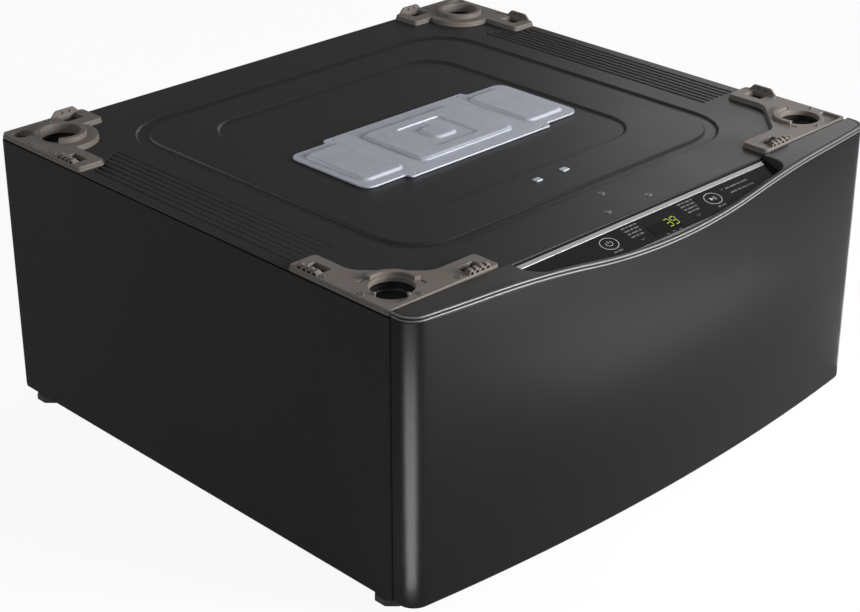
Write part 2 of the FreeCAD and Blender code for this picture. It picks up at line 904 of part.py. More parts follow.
def below_dip(drop):
    """Everything below the drawer front's top line, which dips in the middle, lowered by a drop."""
    z = z_deck - drop
    run = dip_half_width / 2
    fall = dip_depth / 2
    radius = (run ** 2 + fall ** 2) / (2 * fall)
    turn = math.asin(run / radius)
    y = y_front - 2 * front_reach
    far = half + front_reach
    low = z_bottom - foot_height
    crest_z = z - radius
    quarter_x = radius * math.sin(turn / 2)
    quarter_z = radius * math.cos(turn / 2)
    edges = [
        Part.LineSegment(V(-far, y, low), V(-far, y, z)).toShape(),
        Part.LineSegment(V(-far, y, z), V(-dip_half_width, y, z)).toShape(),
        Part.Arc(V(-dip_half_width, y, z), V(-dip_half_width + quarter_x, y, crest_z + quarter_z),
                 V(-run, y, z - fall)).toShape(),
        Part.Arc(V(-run, y, z - fall), V(0, y, z - dip_depth), V(run, y, z - fall)).toShape(),
        Part.Arc(V(run, y, z - fall), V(dip_half_width - quarter_x, y, crest_z + quarter_z),
                 V(dip_half_width, y, z)).toShape(),
        Part.LineSegment(V(dip_half_width, y, z), V(far, y, z)).toShape(),
        Part.LineSegment(V(far, y, z), V(far, y, low)).toShape(),
        Part.LineSegment(V(far, y, low), V(-far, y, low)).toShape(),
    ]
    return Part.Face(Part.Wire(edges)).extrude(V(0, 4 * front_reach, 0))


def front_shell(outer_inset, inner_inset):
    """Wall of the drawer front between two insets, open at the rear."""
    outer = front_block(outer_inset, z_bottom, z_deck)
    return outer.cut(front_block(inner_inset, z_bottom, z_deck, front_gap))


def front_panel():
    """Painted skin: bowed face, wrapped sides and bottom."""
    floor = front_block(0, z_bottom, z_bottom + front_skin)
    return join([front_shell(0, front_skin), floor]).common(below_dip(trim_height)).removeSplitter()


def trim_strip():
    """Bright strip on the skin's top edge: two beads with a groove between them."""
    band = front_shell(0, trim_depth).common(below_dip(0)).cut(below_dip(trim_height))
    groove = front_shell(0, trim_groove).common(below_dip(trim_bead)).cut(below_dip(trim_height - trim_bead))
    return band.cut(groove)


def face_line(lift):
    """Everything above the sloped control face, raised by a lift."""
    y0 = y_rear_of_front + front_gap
    y1 = y_front - front_reach
    slope = (face_front_drop - face_rear_drop) / (y_rear_of_front - y1)
    z_rear = z_deck - face_rear_drop + lift
    x = recess_half_width + recess_corner
    outline = [V(-x, y0, z_rear + slope * front_gap), V(-x, y1, z_rear - slope * (y_rear_of_front - y1)),
               V(-x, y1, z_deck + bracket_thickness), V(-x, y0, z_deck + bracket_thickness)]
    return Part.Face(rounded_wire(outline, [0] * 4)).extrude(V(2 * x, 0, 0))


def recess_block(inset):
    """Plan of the control recess, drawn in by an inset."""
    x = recess_half_width - inset
    z0 = z_deck - cap_depth
    plan = front_block(trim_depth + recess_lip + inset, z0, z_deck + bracket_thickness)
    block = plan.common(box(-x, x, y_front - front_reach, y_rear_of_front, z0, z_deck + bracket_thickness))
    y_corner = min(vertex.Y for vertex in block.Vertexes)
    corners = [edge for edge in block.Edges if is_upright_at(edge, y_corner)]
    return block.makeFillet(recess_corner - inset, corners)


def front_cap():
    """Plastic deck behind the trim, with the control recess and hollow underneath."""
    z0 = z_deck - cap_depth
    ceiling = z_deck - face_front_drop - face_thickness - cap_wall
    cap = front_block(trim_depth, z0, z_deck).common(below_dip(0))
    cap = cap.cut(recess_block(0).common(face_line(-face_thickness)))
    wall = trim_depth + cap_wall
    y0 = y_front - front_reach
    y1 = y_rear_of_front - cap_wall
    hollow = front_block(wall, z0, z_deck).common(box(-half, half, y0, y1, z0, ceiling))
    side = front_block(wall, z0, z_deck).common(below_dip(cap_wall))
    side = side.common(box(recess_half_width + cap_wall, half, y0, y1, z0, z_deck))
    return cap.cut([hollow, side, mirrored(side)])


def on_face(x0, x1, y0, y1, low, high):
    """A flat strip lying on the control face."""
    block = box(x0, x1, y0, y1, z_deck - cap_depth, z_deck + bracket_thickness)
    return block.common(face_line(low)).cut(face_line(high))


def control_panel():
    """Glossy touch face on the recess floor."""
    return recess_block(fit_gap).common(face_line(-face_thickness)).cut(face_line(0))


def control_strip():
    """Bright strip along the rear of the control face."""
    x = recess_half_width - strip_end_gap
    y1 = y_rear_of_front - strip_inset
    return on_face(-x, x, y1 - strip_wide, y1, 0, strip_rise)


def display_lens():
    """Dark window over the digits."""
    y0 = y_front - front_reach + trim_depth + recess_lip + lens_front_margin
    return on_face(-lens_half_length, lens_half_length, y0, y0 + lens_wide, 0, lens_rise)


def control_board():
    """Board hung from the cap's ceiling on four standoffs."""
    ceiling = z_deck - face_front_drop - face_thickness - cap_wall
    z1 = ceiling - standoff_length
    y1 = y_rear_of_front - 2 * cap_wall
    y0 = y1 - board_wide
    pieces = [box(-board_half_length, board_half_length, y0, y1, z1 - board_thickness, z1)]
    inset = 2 * standoff_radius
    for x in (inset - board_half_length, board_half_length - inset):
        for y in (y0 + inset, y1 - inset):
            pieces.append(rod(standoff_radius, x, y, z1, ceiling))
    return join(pieces)


def front_inner_panel():
    """Sheet that closes the back of the drawer front."""
    x = half - front_skin
    y0 = y_rear_of_front - front_skin
    return box(-x, x, y0, y_rear_of_front, z_bottom + front_skin, z_deck - cap_depth)


def pair(shape):
    """The shape and its mirror image on the other side, as one node."""
    return group([shape, mirrored(shape)])


def rail_channel(x1, half_height):
    """A C-shaped runner on the right side, open towards the drawer."""
    x0 = tray_half + 2 * fit_gap
    web = box(x1 - rail_wall, x1, rail_y0, rail_y1, rail_z - half_height, rail_z + half_height)
    upper = box(x0, x1, rail_y0, rail_y1, rail_z + half_height - rail_wall, rail_z + half_height)
    lower = box(x0, x1, rail_y0, rail_y1, rail_z - half_height, rail_z - half_height + rail_wall)
    return join([web, upper, lower])


def outer_rails():
    """Runners fixed to the cabinet, each with its welded blocks against the side panel."""
    pieces = [rail_channel(rail_outer_x, rail_height / 2)]
    step = (rail_y1 - rail_y0 - rail_bracket_length) / (rail_bracket_count - 1)
    for i in range(rail_bracket_count):
        y0 = rail_y0 + i * step
        pieces.append(box(rail_outer_x, inner_half, y0, y0 + rail_bracket_length, rail_z - rail_height / 2,
                          rail_z + rail_height / 2))
    return pair(join(pieces))


def middle_rails():
    """Runners between the fixed ones and the drawer's."""
    step = rail_wall + fit_gap
    return pair(rail_channel(rail_outer_x - step, rail_height / 2 - step))


def inner_rails():
    """Runners on the drawer's sides."""
    step = 2 * (rail_wall + fit_gap)
    half_height = rail_height / 2 - step
    return pair(box(tray_half, rail_outer_x - step, rail_y0, rail_y1,
                    rail_z - half_height, rail_z + half_height))


def rod_places():
    """Centres of the four suspension rods."""
    return [(sx * ear_offset, wash_y + sy * ear_offset) for sx in (-1, 1) for sy in (-1, 1)]


def drawer_tray():
    """Folded steel box with corner gussets for the suspension rods and hose clamps underneath."""
    outer = box(-tray_half, tray_half, y_rear_of_front, tray_back, tray_z, cover_z)
    inner = box(-tray_inner_half, tray_inner_half, tray_inner_front, tray_inner_back, tray_floor, cover_z)
    pieces = [outer.cut(inner)]
    half_depth = (tray_inner_back - tray_inner_front) / 2
    leg = tray_inner_half + half_depth - 2 * ear_offset + gusset_margin * math.sqrt(2)
    corner_x = tray_inner_half
    corner_y = half_depth
    for sx in (-1, 1):
        for sy in (-1, 1):
            outline = [(sx * corner_x, wash_y + sy * corner_y),
                       (sx * (corner_x - leg), wash_y + sy * corner_y),
                       (sx * corner_x, wash_y + sy * (corner_y - leg))]
            pieces.append(prism(outline, 0, gusset_z, gusset_z + gusset_thickness))
    tray = join(pieces + hose_clamps())
    return tray.cut([rod(rod_radius, x, y, gusset_z, gusset_z + gusset_thickness) for x, y in rod_places()])


def drawer_cover():
    """Plastic cover on the tray with the lid's opening and the funnel's mouth."""
    z1 = cover_z + cover_thickness
    cover = box(-tray_half, tray_half, y_rear_of_front, tray_back, cover_z, z1)
    hole = rod(lid_radius + cover_hole_gap, 0, wash_y, cover_z, z1)
    notch = box(-hinge_notch_half, hinge_notch_half, wash_y, hinge_y + hinge_notch_depth / 2, cover_z, z1)
    x1, y0 = funnel_corner()
    mouth = box(x1 - funnel_length + funnel_wall, x1 - funnel_wall, y0 + funnel_wall,
                y0 + funnel_wide - funnel_wall, cover_z, z1)
    return cover.cut([hole, notch, mouth])


def funnel_corner():
    """The detergent funnel's outer corner, at the tray's front right."""
    return tray_inner_half - funnel_inset, tray_inner_front + funnel_inset


def detergent_funnel():
    """Open cup under the drawer cover."""
    x1, y0 = funnel_corner()
    z0 = cover_z - funnel_depth
    cup = box(x1 - funnel_length, x1, y0, y0 + funnel_wide, z0, cover_z)
    return cup.cut(box(x1 - funnel_length + funnel_wall, x1 - funnel_wall, y0 + funnel_wall,
                       y0 + funnel_wide - funnel_wall, z0 + funnel_wall, cover_z))


def tub():
    """Outer tub with a rim flange, four suspension ears and a drain stub."""
    r = tub_radius
    w = tub_wall
    outline = [(bearing_radius, tub_floor_z), (r, tub_floor_z), (r, tub_top - w),
               (r + tub_flange, tub_top - w), (r + tub_flange, tub_top), (r - w, tub_top),
               (r - w, tub_floor_z + w), (bearing_radius, tub_floor_z + w)]
    c = tub_bottom_corner
    shell = turned(outline, [0, c, 0, 0, 0, 0, c - w, 0], 0, wash_y)
    bore = rod(r - w / 2, 0, wash_y, ear_z, ear_z + ear_height)
    pieces = [shell]
    for x, y in rod_places():
        ear = rod(ear_radius, x, y, ear_z, ear_z + ear_height).cut(bore)
        pieces.append(ear.cut(rod(rod_radius + rod_slack, x, y, ear_z, ear_z + ear_height)))
    x, y = sump_place()
    pieces.append(rod(sump_hose_radius, x, y, tub_floor_z - sump_stub_length, tub_floor_z))
    return join(pieces)


def sump_place():
    """Where the tub's drain stub is, near the rear of the tub."""
    reach = tub_radius - sump_inset
    angle = math.radians(sump_angle)
    return reach * math.cos(angle), wash_y + reach * math.sin(angle)


def tub_cover():
    """Ring on the tub with a collar round the mouth and posts for the lid's hinge pin."""
    r = tub_radius + tub_flange
    m = mouth_radius
    z1 = tub_top + tub_wall
    outline = [(m, tub_top), (r, tub_top), (r, z1), (m + collar_wall, z1), (m + collar_wall, cover_z),
               (m, cover_z)]
    pieces = [turned(outline, [0] * 6, 0, wash_y)]
    y0 = hinge_y - hinge_barrel_radius
    y1 = hinge_y + hinge_barrel_radius
    for side in (-1, 1):
        x = side * hinge_post_x
        post = box(x - hinge_ear_wide / 2, x + hinge_ear_wide / 2, y0, y1, tub_top, hinge_z)
        eye = hinge_bar(hinge_barrel_radius, x, hinge_ear_wide / 2)
        pieces += [post, eye]
    return join(pieces).cut(hinge_bar(hinge_pin_radius, 0, half))


def hinge_bar(radius, x, reach):
    """A cylinder on the lid's hinge axis, as far as the reach to both sides of x."""
    return Part.makeCylinder(radius, 2 * reach, V(x - reach, hinge_y, hinge_z), V(1, 0, 0))


def lid_hinge_pin():
    """Pin through both posts."""
    return hinge_bar(hinge_pin_radius, 0, hinge_post_x + hinge_ear_wide / 2)


def collar_seal():
    """Soft ring on the collar under the lid."""
    inner = mouth_radius - seal_wide / 2
    return ring(inner + seal_wide, inner, 0, wash_y, cover_z, lid_z)


def lid_frame():
    """Lid ring with a rebate for the window, a grip at the front and two hinge ears."""
    z1 = lid_z + lid_height
    hole = lid_window_radius - lid_window_rebate
    pieces = [ring(lid_radius, hole, 0, wash_y, lid_z, z1)]
    edge = wash_y - lid_radius
    pieces.append(slab(-lid_grip_half, lid_grip_half, edge - lid_grip_depth, edge + lid_grip_depth,
                       lid_z, lid_z + lid_height / 2, lid_grip_depth / 2))
    for side in (-1, 1):
        x = side * hinge_ear_x
        arm = box(x - hinge_ear_wide / 2, x + hinge_ear_wide / 2, wash_y + lid_radius - hinge_offset, hinge_y,
                  lid_z, lid_z + lid_height)
        eye = hinge_bar(hinge_barrel_radius, x, hinge_ear_wide / 2)
        pieces += [arm, eye]
    frame = join(pieces)
    seat = rod(lid_window_radius, 0, wash_y, z1 - lid_window_thickness, z1)
    return frame.cut([seat, hinge_bar(hinge_pin_radius + running_gap, 0, half)])


def lid_window():
    """Clear disc in the lid's rebate."""
    z1 = lid_z + lid_height
    return rod(lid_window_radius, 0, wash_y, z1 - lid_window_thickness, z1)


def basket():
    """Steel wash basket with a rounded bottom edge."""
    r = basket_radius
    s = basket_sheet
    hole = sleeve_radius
    outline = [(hole, basket_floor), (r, basket_floor), (r, basket_top), (r - s, basket_top),
               (r - s, basket_floor + s), (hole, basket_floor + s)]
    c = basket_bottom_corner
    return turned(outline, [0, c, 0, 0, c - s, 0], 0, wash_y)


def balance_ring():
    """Liquid-filled ring inside the basket's rim."""
    outer = basket_radius - basket_sheet
    return ring(outer, outer - balance_wide, 0, wash_y, basket_top - balance_height, basket_top)


def basket_shaft():
    """Hollow shaft with a flange under the basket's floor."""
    top = basket_floor + basket_sheet
    sleeve = rod(sleeve_radius, 0, wash_y, sleeve_bottom, top)
    flange = rod(hub_radius, 0, wash_y, basket_floor - hub_thickness, basket_floor)
    return join([sleeve, flange]).cut(rod(shaft_radius + running_gap, 0, wash_y, sleeve_bottom, top))


def pulsator():
    """Wash plate with a crown and radial vanes."""
    z1 = pulsator_z + pulsator_thickness
    pieces = [rod(pulsator_radius, 0, wash_y, pulsator_z, z1)]
    pieces.append(Part.makeCone(pulsator_crown, pulsator_crown / 2, pulsator_crown_height, V(0, wash_y, z1)))
    for i in range(vane_count):
        vane = box(pulsator_crown / 2, pulsator_radius - vane_wide, wash_y - vane_wide / 2,
                   wash_y + vane_wide / 2, z1, z1 + vane_height)
        pieces.append(vane.rotate(V(0, wash_y, 0), UP, 360.0 * i / vane_count))
    return join(pieces)


def drive_shaft():
    """Solid shaft from the rotor to the pulsator."""
    return rod(shaft_radius, 0, wash_y, rotor_z, pulsator_z)


def rotor():
    """Outer rotor cup on the drive shaft."""
    z1 = rotor_z + rotor_height
    cup = rod(rotor_radius, 0, wash_y, rotor_z, z1)
    cup = cup.cut(rod(rotor_radius - rotor_wall, 0, wash_y, rotor_z + rotor_floor, z1))
    return cup.cut(rod(shaft_radius, 0, wash_y, rotor_z, rotor_z + rotor_floor))


def stator():
    """Wound ring on the bearing housing's neck, inside the rotor."""
    z1 = tub_floor_z - housing_flange
    return ring(rotor_radius - rotor_wall - air_gap, housing_neck_radius, 0, wash_y, z1 - stator_height, z1)


def bearing_housing():
    """Flanged housing under the tub with a bore for both bearings."""
    flange = rod(housing_flange_radius, 0, wash_y, tub_floor_z - housing_flange, tub_floor_z)
    neck = rod(housing_neck_radius, 0, wash_y, housing_bottom, tub_floor_z)
    return join([flange, neck]).cut(rod(bearing_radius, 0, wash_y, housing_bottom, tub_floor_z))


def shaft_bearings():
    """Upper and lower bearing in the housing, running on the hollow shaft."""
    inner = sleeve_radius + running_gap
    levels = (housing_bottom, tub_floor_z - bearing_height)
    return group([ring(bearing_radius, inner, 0, wash_y, z, z + bearing_height) for z in levels])


def shaft_seal():
    """Lip seal in the tub floor's hub hole."""
    return ring(bearing_radius, sleeve_radius + running_gap, 0, wash_y, tub_floor_z, tub_floor_z + tub_wall)


def suspension_rods():
    """Rods that hang from the tray's gussets and end in a spring cup."""
    rods = []
    top = gusset_z + gusset_thickness
    foot = tray_floor + rod_foot_lift
    for x, y in rod_places():
        rods.append(join([
            rod(rod_head_radius, x, y, top, top + rod_head_height),
            rod(rod_radius, x, y, foot, top),
            rod(spring_radius, x, y, foot, foot + rod_foot_height),
        ]))
    return group(rods)


def suspension_springs():
    """Springs between the rods' cups and the tub's ears."""
    z0 = tray_floor + rod_foot_lift + rod_foot_height
    return group([ring(spring_radius, spring_radius - spring_wire, x, y, z0, ear_z) for x, y in rod_places()])


def pump_body():
    """Pump chamber with a motor on top and an inlet stub towards the sump."""
    z0 = tray_floor
    z1 = z0 + pump_height
    chamber = rod(pump_radius, pump_x, pump_y, z0, z1)
    hollow = rod(pump_radius - pump_wall, pump_x, pump_y, z0 + pump_wall, z1 - pump_wall)
    motor = rod(pump_motor_radius, pump_x, pump_y, z1, z1 + pump_motor_height)
    bore = rod(impeller_shaft_radius + running_gap, pump_x, pump_y, z1 - pump_wall, z1 + pump_wall)
    return join([chamber, motor]).cut([hollow, bore])


def pump_impeller():
    """Four-vaned impeller on a short shaft that runs in the pump's motor."""
    z0 = tray_floor + 2 * pump_wall
    z1 = z0 + impeller_height
    top = tray_floor + pump_height + pump_wall - fit_gap
    pieces = [rod(impeller_shaft_radius, pump_x, pump_y, z0, top)]
    for i in range(2):
        vane = box(pump_x - impeller_radius, pump_x + impeller_radius, pump_y - vane_thickness / 2,
                   pump_y + vane_thickness / 2, z0, z1)
        pieces.append(vane.rotate(V(pump_x, pump_y, 0), UP, 90.0 * i))
    return join(pieces)


def sump_hose():
    """Short hose from the tub's drain stub to the pump's side."""
    x, y = sump_place()
    z1 = tub_floor_z - sump_stub_length
    z0 = tray_floor + sump_hose_radius + sump_hose_lift
    towards = V(pump_x - x, pump_y - y, 0)
    end = towards * ((towards.Length - pump_radius) / towards.Length)
    hose = tube([V(x, y, z1), V(x, y, z0), V(x + end.x, y + end.y, z0)], sump_hose_radius, sump_bend)
    return hose.cut(rod(pump_radius, pump_x, pump_y, tray_floor, z1))


def main_board_case():
    """Closed case for the main board in the tray's rear right corner."""
    x0 = ear_offset + spring_radius + case_spring_gap
    x1 = tray_inner_half - case_inset
    y1 = tray_inner_back - case_inset
    top = tray_floor + case_height
    return slab(x0, x1, y1 - case_depth, y1, tray_floor, top, case_inset / 2)


def port_block(x0, x1, spigots, radius, stub_x, stub_radius):
    """A block on the rear panel with spigots to the rear and one stub pointing down."""
    y1 = y_back - sheet
    block = box(x0, x1, y1 - port_block_depth, y1, port_z - port_block_half, port_z + port_block_half)
    pieces = [block, rod(stub_radius, stub_x, port_y, port_z - port_block_half - stub_length, port_z)]
    for x in spigots:
        pieces.append(Part.makeCylinder(radius + port_collar, sheet, V(x, y1, port_z), V(0, 1, 0)))
        pieces.append(Part.makeCylinder(radius, port_length, V(x, y_back, port_z), V(0, 1, 0)))
    return join(pieces)


def inlet_valves():
    """Two water inlets side by side with one outlet."""
    spread = inlet_spacing / 2
    reach = spread + port_block_half
    return port_block(inlet_x - reach, inlet_x + reach, [inlet_x - spread, inlet_x + spread], inlet_radius,
                      inlet_x, fill_hose_radius)


def drain_spigot():
    """Drain outlet."""
    return port_block(drain_x - port_block_half, drain_x + port_block_half, [drain_x], drain_port_radius,
                      drain_x, drain_hose_radius)


def cord_gland():
    """Gland where the mains cord would leave the machine."""
    return port_block(gland_x - port_block_half, gland_x + port_block_half, [gland_x], gland_radius,
                      gland_x, harness_radius)


def loop_end(x, loop):
    """Where a loop comes back, nearer the middle of the machine than its port."""
    return x - math.copysign(2 * loop, x)


def service_loop(x, radius, loop):
    """A loop from a rear stub down to the base, forward, round and back to a clamp under the drawer."""
    far_y = y_back - loop_reach
    points = [
        V(x, port_y, port_z - port_block_half - stub_length),
        V(x, port_y, loop_z),
        V(x, far_y, loop_z),
        V(loop_end(x, loop), far_y, loop_z),
        V(loop_end(x, loop), clamp_y, loop_z),
    ]
    path = rounded_wire(points, [0, loop_corner, loop, loop, 0], closed=False)
    section = Part.Wire(Part.Circle(points[0], V(0, 0, -1), radius).toShape())
    return path.makePipeShell([section], True, False)


def hose_clamps():
    """Blocks under the tray that hold the drawer ends of the three loops."""
    ends = [(drain_x, drain_loop), (inlet_x, fill_loop), (gland_x, harness_loop)]
    clamps = []
    for x, loop in ends:
        centre = loop_end(x, loop)
        clamps.append(box(centre - clamp_half, centre + clamp_half, clamp_y, clamp_y + clamp_depth,
                          loop_z - drain_hose_radius, tray_z))
    return clamps


def all_parts():
    """Every node by name."""
    left_side = left_side_panel()
    parts = {
        "base_frame": base_frame(),
        "left_side_panel": left_side,
        "right_side_panel": mirrored(left_side),
        "rear_panel": rear_panel(),
        "top_panel": top_panel(),
        "front_cross_member": front_cross_member(),
        "stiffener_plate": stiffener_plate(),
        "front_left_bracket": front_left_bracket(),
        "front_right_bracket": front_right_bracket(),
        "rear_left_bracket": rear_left_bracket(),
        "rear_right_bracket": rear_right_bracket(),
        "top_screws": top_screws(),
        "foot_lock_nuts": lock_nuts(),
        "outer_rails": outer_rails(),
        "middle_rails": middle_rails(),
        "inner_rails": inner_rails(),
        "front_panel": front_panel(),
        "trim_strip": trim_strip(),
        "front_cap": front_cap(),
        "front_inner_panel": front_inner_panel(),
        "control_panel": control_panel(),
        "control_strip": control_strip(),
        "display_lens": display_lens(),
        "control_board": control_board(),
        "drawer_tray": drawer_tray(),
        "drawer_cover": drawer_cover(),
        "detergent_funnel": detergent_funnel(),
        "suspension_rods": suspension_rods(),
        "suspension_springs": suspension_springs(),
        "tub": tub(),
        "tub_cover": tub_cover(),
        "collar_seal": collar_seal(),
        "lid_hinge_pin": lid_hinge_pin(),
        "lid_frame": lid_frame(),
        "lid_window": lid_window(),
        "basket": basket(),
        "balance_ring": balance_ring(),
        "basket_shaft": basket_shaft(),
        "pulsator": pulsator(),
        "drive_shaft": drive_shaft(),
        "rotor": rotor(),
        "stator": stator(),
        "bearing_housing": bearing_housing(),
        "shaft_bearings": shaft_bearings(),
        "shaft_seal": shaft_seal(),
        "pump_body": pump_body(),
        "pump_impeller": pump_impeller(),
        "sump_hose": sump_hose(),
        "main_board_case": main_board_case(),
        "inlet_valves": inlet_valves(),
        "drain_spigot": drain_spigot(),
        "cord_gland": cord_gland(),
        "drain_hose": service_loop(drain_x, drain_hose_radius, drain_loop),
        "fill_hose": service_loop(inlet_x, fill_hose_radius, fill_loop),
        "wire_harness": service_loop(gland_x, harness_radius, harness_loop),
    }
    for name, (x, y) in foot_places().items():
        parts["foot_" + name] = levelling_foot(x, y)
    return parts


os.makedirs("parts", exist_ok=True)
for node, shape in all_parts().items():
    shape.exportStep("parts/" + node + ".step")
    print(node, len(shape.Solids), round(shape.Volume), shape.isValid())
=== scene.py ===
"""Looks of a pedestal washer: stamped top with corner brackets, bowed drawer front, drawer and wash unit.

Everything is in metres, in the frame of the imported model. +X is right, +Y the rear, +Z up.
"""
import logging
import math
from collections.abc import Callable, Mapping, Sequence
from dataclasses import dataclass, field
from enum import Enum
from functools import cache
from typing import Any

import bmesh
import bpy
from mathutils import Matrix, Quaternion, Vector
from mathutils.geometry import tessellate_polygon


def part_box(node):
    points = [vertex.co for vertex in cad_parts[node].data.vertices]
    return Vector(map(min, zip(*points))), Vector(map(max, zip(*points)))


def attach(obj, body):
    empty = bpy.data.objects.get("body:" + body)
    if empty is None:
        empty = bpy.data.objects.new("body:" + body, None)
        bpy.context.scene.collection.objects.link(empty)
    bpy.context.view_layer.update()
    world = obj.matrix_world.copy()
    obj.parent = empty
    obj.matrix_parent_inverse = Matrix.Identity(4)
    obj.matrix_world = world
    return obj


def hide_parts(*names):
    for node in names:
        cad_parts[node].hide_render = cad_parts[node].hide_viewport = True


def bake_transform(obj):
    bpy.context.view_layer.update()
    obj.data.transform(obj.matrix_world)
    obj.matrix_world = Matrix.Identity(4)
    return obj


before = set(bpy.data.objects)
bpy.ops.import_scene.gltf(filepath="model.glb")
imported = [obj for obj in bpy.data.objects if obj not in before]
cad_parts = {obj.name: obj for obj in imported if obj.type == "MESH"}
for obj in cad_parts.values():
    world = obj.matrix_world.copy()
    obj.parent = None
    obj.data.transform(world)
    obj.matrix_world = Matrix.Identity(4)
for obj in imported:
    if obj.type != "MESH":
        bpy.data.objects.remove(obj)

LOG = logging.getLogger("pedestal_washer")
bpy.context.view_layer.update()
IMAGE_WIDTH_PX = 860
MM = 0.001
# How far stacked parts of one piece reach into each other.
OVERLAP = 0.2 * MM
# Usual roundings of edges, from folded sheet to moulded plastic.
SHEET_EDGE = 0.2 * MM
FINE_EDGE = 0.3 * MM
CRISP_EDGE = 0.4 * MM
EASED_EDGE = 0.5 * MM
# Steps of a rounding, and how far past it a plate's flat top begins, in sizes of the rounding.
ROUND_STEPS = 6
FLAT_RING = 1.3
# Direction from a bracket's foot pocket to the machine's corner.
TO_CORNER = math.radians(225)

Piece = bpy.types.Object
Point = tuple[float, float]
Triple = tuple[float, float, float]
Warp = Callable[[float, float, float], Vector]


def tone(*channels: int) -> Triple:
    """A colour as seen on a screen, each channel from 0 to 255, in linear scene values."""
    shares = [channel / 255 for channel in channels]
    return tuple(s / 12.92 if s <= 0.04045 else ((s + 0.055) / 1.055) ** 2.4 for s in shares)


def operator(operation: str, swap: bool = False) -> Callable[["Val", Any], "Val"]:
    """Make one of a value's arithmetic operators.

    Args:
        operation: The Math node's operation.
        swap: True for the reflected form, with the value on the right.

    Returns:
        The method, which adds the Math node.
    """
    def method(self: "Val", other: Any) -> "Val":
        """Add the Math node."""
        first, second = (other, self) if swap else (self, other)
        return self.graph.val("ShaderNodeMath", {0: first, 1: second}, operation=operation)
    return method


class Val:
    """A node socket that can be written in arithmetic expressions."""

    __add__, __radd__ = operator("ADD"), operator("ADD", True)
    __sub__, __rsub__ = operator("SUBTRACT"), operator("SUBTRACT", True)
    __mul__, __rmul__ = operator("MULTIPLY"), operator("MULTIPLY", True)
    __truediv__, __rtruediv__ = operator("DIVIDE"), operator("DIVIDE", True)

    def __init__(self, graph: "Graph", socket: bpy.types.NodeSocket) -> None:
        """Keep the socket and the graph it lives in."""
        self.graph = graph
        self.socket = socket

    def above(self, limit: float, soft: float) -> "Val":
        """A mask that goes from 0 to 1 around a limit, from soft below it to soft above it."""
        ends = {"From Min": limit - soft, "From Max": limit + soft}
        return self.graph.val("ShaderNodeMapRange", {"Value": self, **ends}, interpolation_type="SMOOTHSTEP")


class Graph:
    """A node tree that is filled in code."""

    def __init__(self, tree: bpy.types.NodeTree) -> None:
        """Keep the tree."""
        self.tree = tree

    def put(self, target: bpy.types.NodeSocket, value: Any) -> None:
        """Link an input to a value, or set it.

        Args:
            target: The input.
            value: A value or socket to link, or what to set.
        """
        source = value.socket if isinstance(value, Val) else value
        if isinstance(source, bpy.types.NodeSocket):
            self.tree.links.new(source, target)
        else:
            target.default_value = source

    def node(self, kind: str, sockets: Mapping[Any, Any] | None = None, **settings: Any) -> bpy.types.Node:
        """Add one node.

        Args:
            kind: The node's type.
            sockets: Values or links of its inputs, by name or place.
            settings: Its properties, set before the inputs.

        Returns:
            The node.
        """
        made = self.tree.nodes.new(kind)
        for key, value in settings.items():
            setattr(made, key, value)
        for key, value in (sockets or {}).items():
            self.put(made.inputs[key], value)
        return made

    def val(self, kind: str, sockets: Mapping[Any, Any] | None = None, output: Any = 0, **settings: Any) -> Val:
        """Add one node and give one of its outputs as a value."""
        return Val(self, self.node(kind, sockets, **settings).outputs[output])


class FinishGraph(Graph):
    """The nodes of one material, around a Principled shader."""

    def __init__(self, name: str) -> None:
        """Make an empty material.

        Args:
            name: Its name.
        """
        self.material = bpy.data.materials.new(name)
        self.material.use_nodes = True
        super().__init__(self.material.node_tree)
        self.tree.nodes.clear()

    def start(self) -> None:
        """Add the shader, the output and the coordinates."""
        self.shader = self.node("ShaderNodeBsdfPrincipled")
        self.node("ShaderNodeOutputMaterial", {"Surface": self.shader.outputs[0]})
        self.place = self.val("ShaderNodeTexCoord", None, "Object")

    def feed(self, socket: str, value: Any) -> None:
        """Link or set one of the shader's sockets."""
        self.put(self.shader.inputs[socket], value)

    def stretched(self, scale: Triple) -> Val:
        """Object coordinates, scaled along each axis."""
        return self.val("ShaderNodeMapping", {"Vector": self.place, "Scale": scale})

    def noise(self, scale: float, detail: float = 2.0, place: Val | None = None) -> Val:
        """Cloudy noise from 0 to 1, with the given number of cells per metre."""
        return self.val("ShaderNodeTexNoise", {"Vector": place or self.place, "Scale": scale, "Detail": detail})

    def cells(self, scale: float, output: str, place: Val | None = None) -> Val:
        """Voronoi cells, with the given number per metre."""
        return self.val("ShaderNodeTexVoronoi", {"Vector": place or self.place, "Scale": scale}, output)

    def blend(self, first: Any, second: Any, factor: Any) -> Val:
        """Mix two colours."""
        first, second = ((*c, 1.0) if isinstance(c, tuple) else c for c in (first, second))
        return self.val("ShaderNodeMix", {0: factor, 6: first, 7: second}, 2, data_type="RGBA")

    def cover(self, colour: Val, roughness: Val, height: Val | None = None, depth: float = 0.0) -> None:
        """Set a surface's pattern.

        Args:
            colour: Its colour.
            roughness: Its roughness.
            height: What makes it uneven; none leaves it even.
            depth: What a height of 1 stands for, in metres.
        """
        self.feed("Base Color", colour)
        self.feed("Roughness", roughness)
        if height:
            uneven = {"Strength": 1.0, "Distance": depth, "Height": height}
            self.feed("Normal", self.val("ShaderNodeBump", uneven))


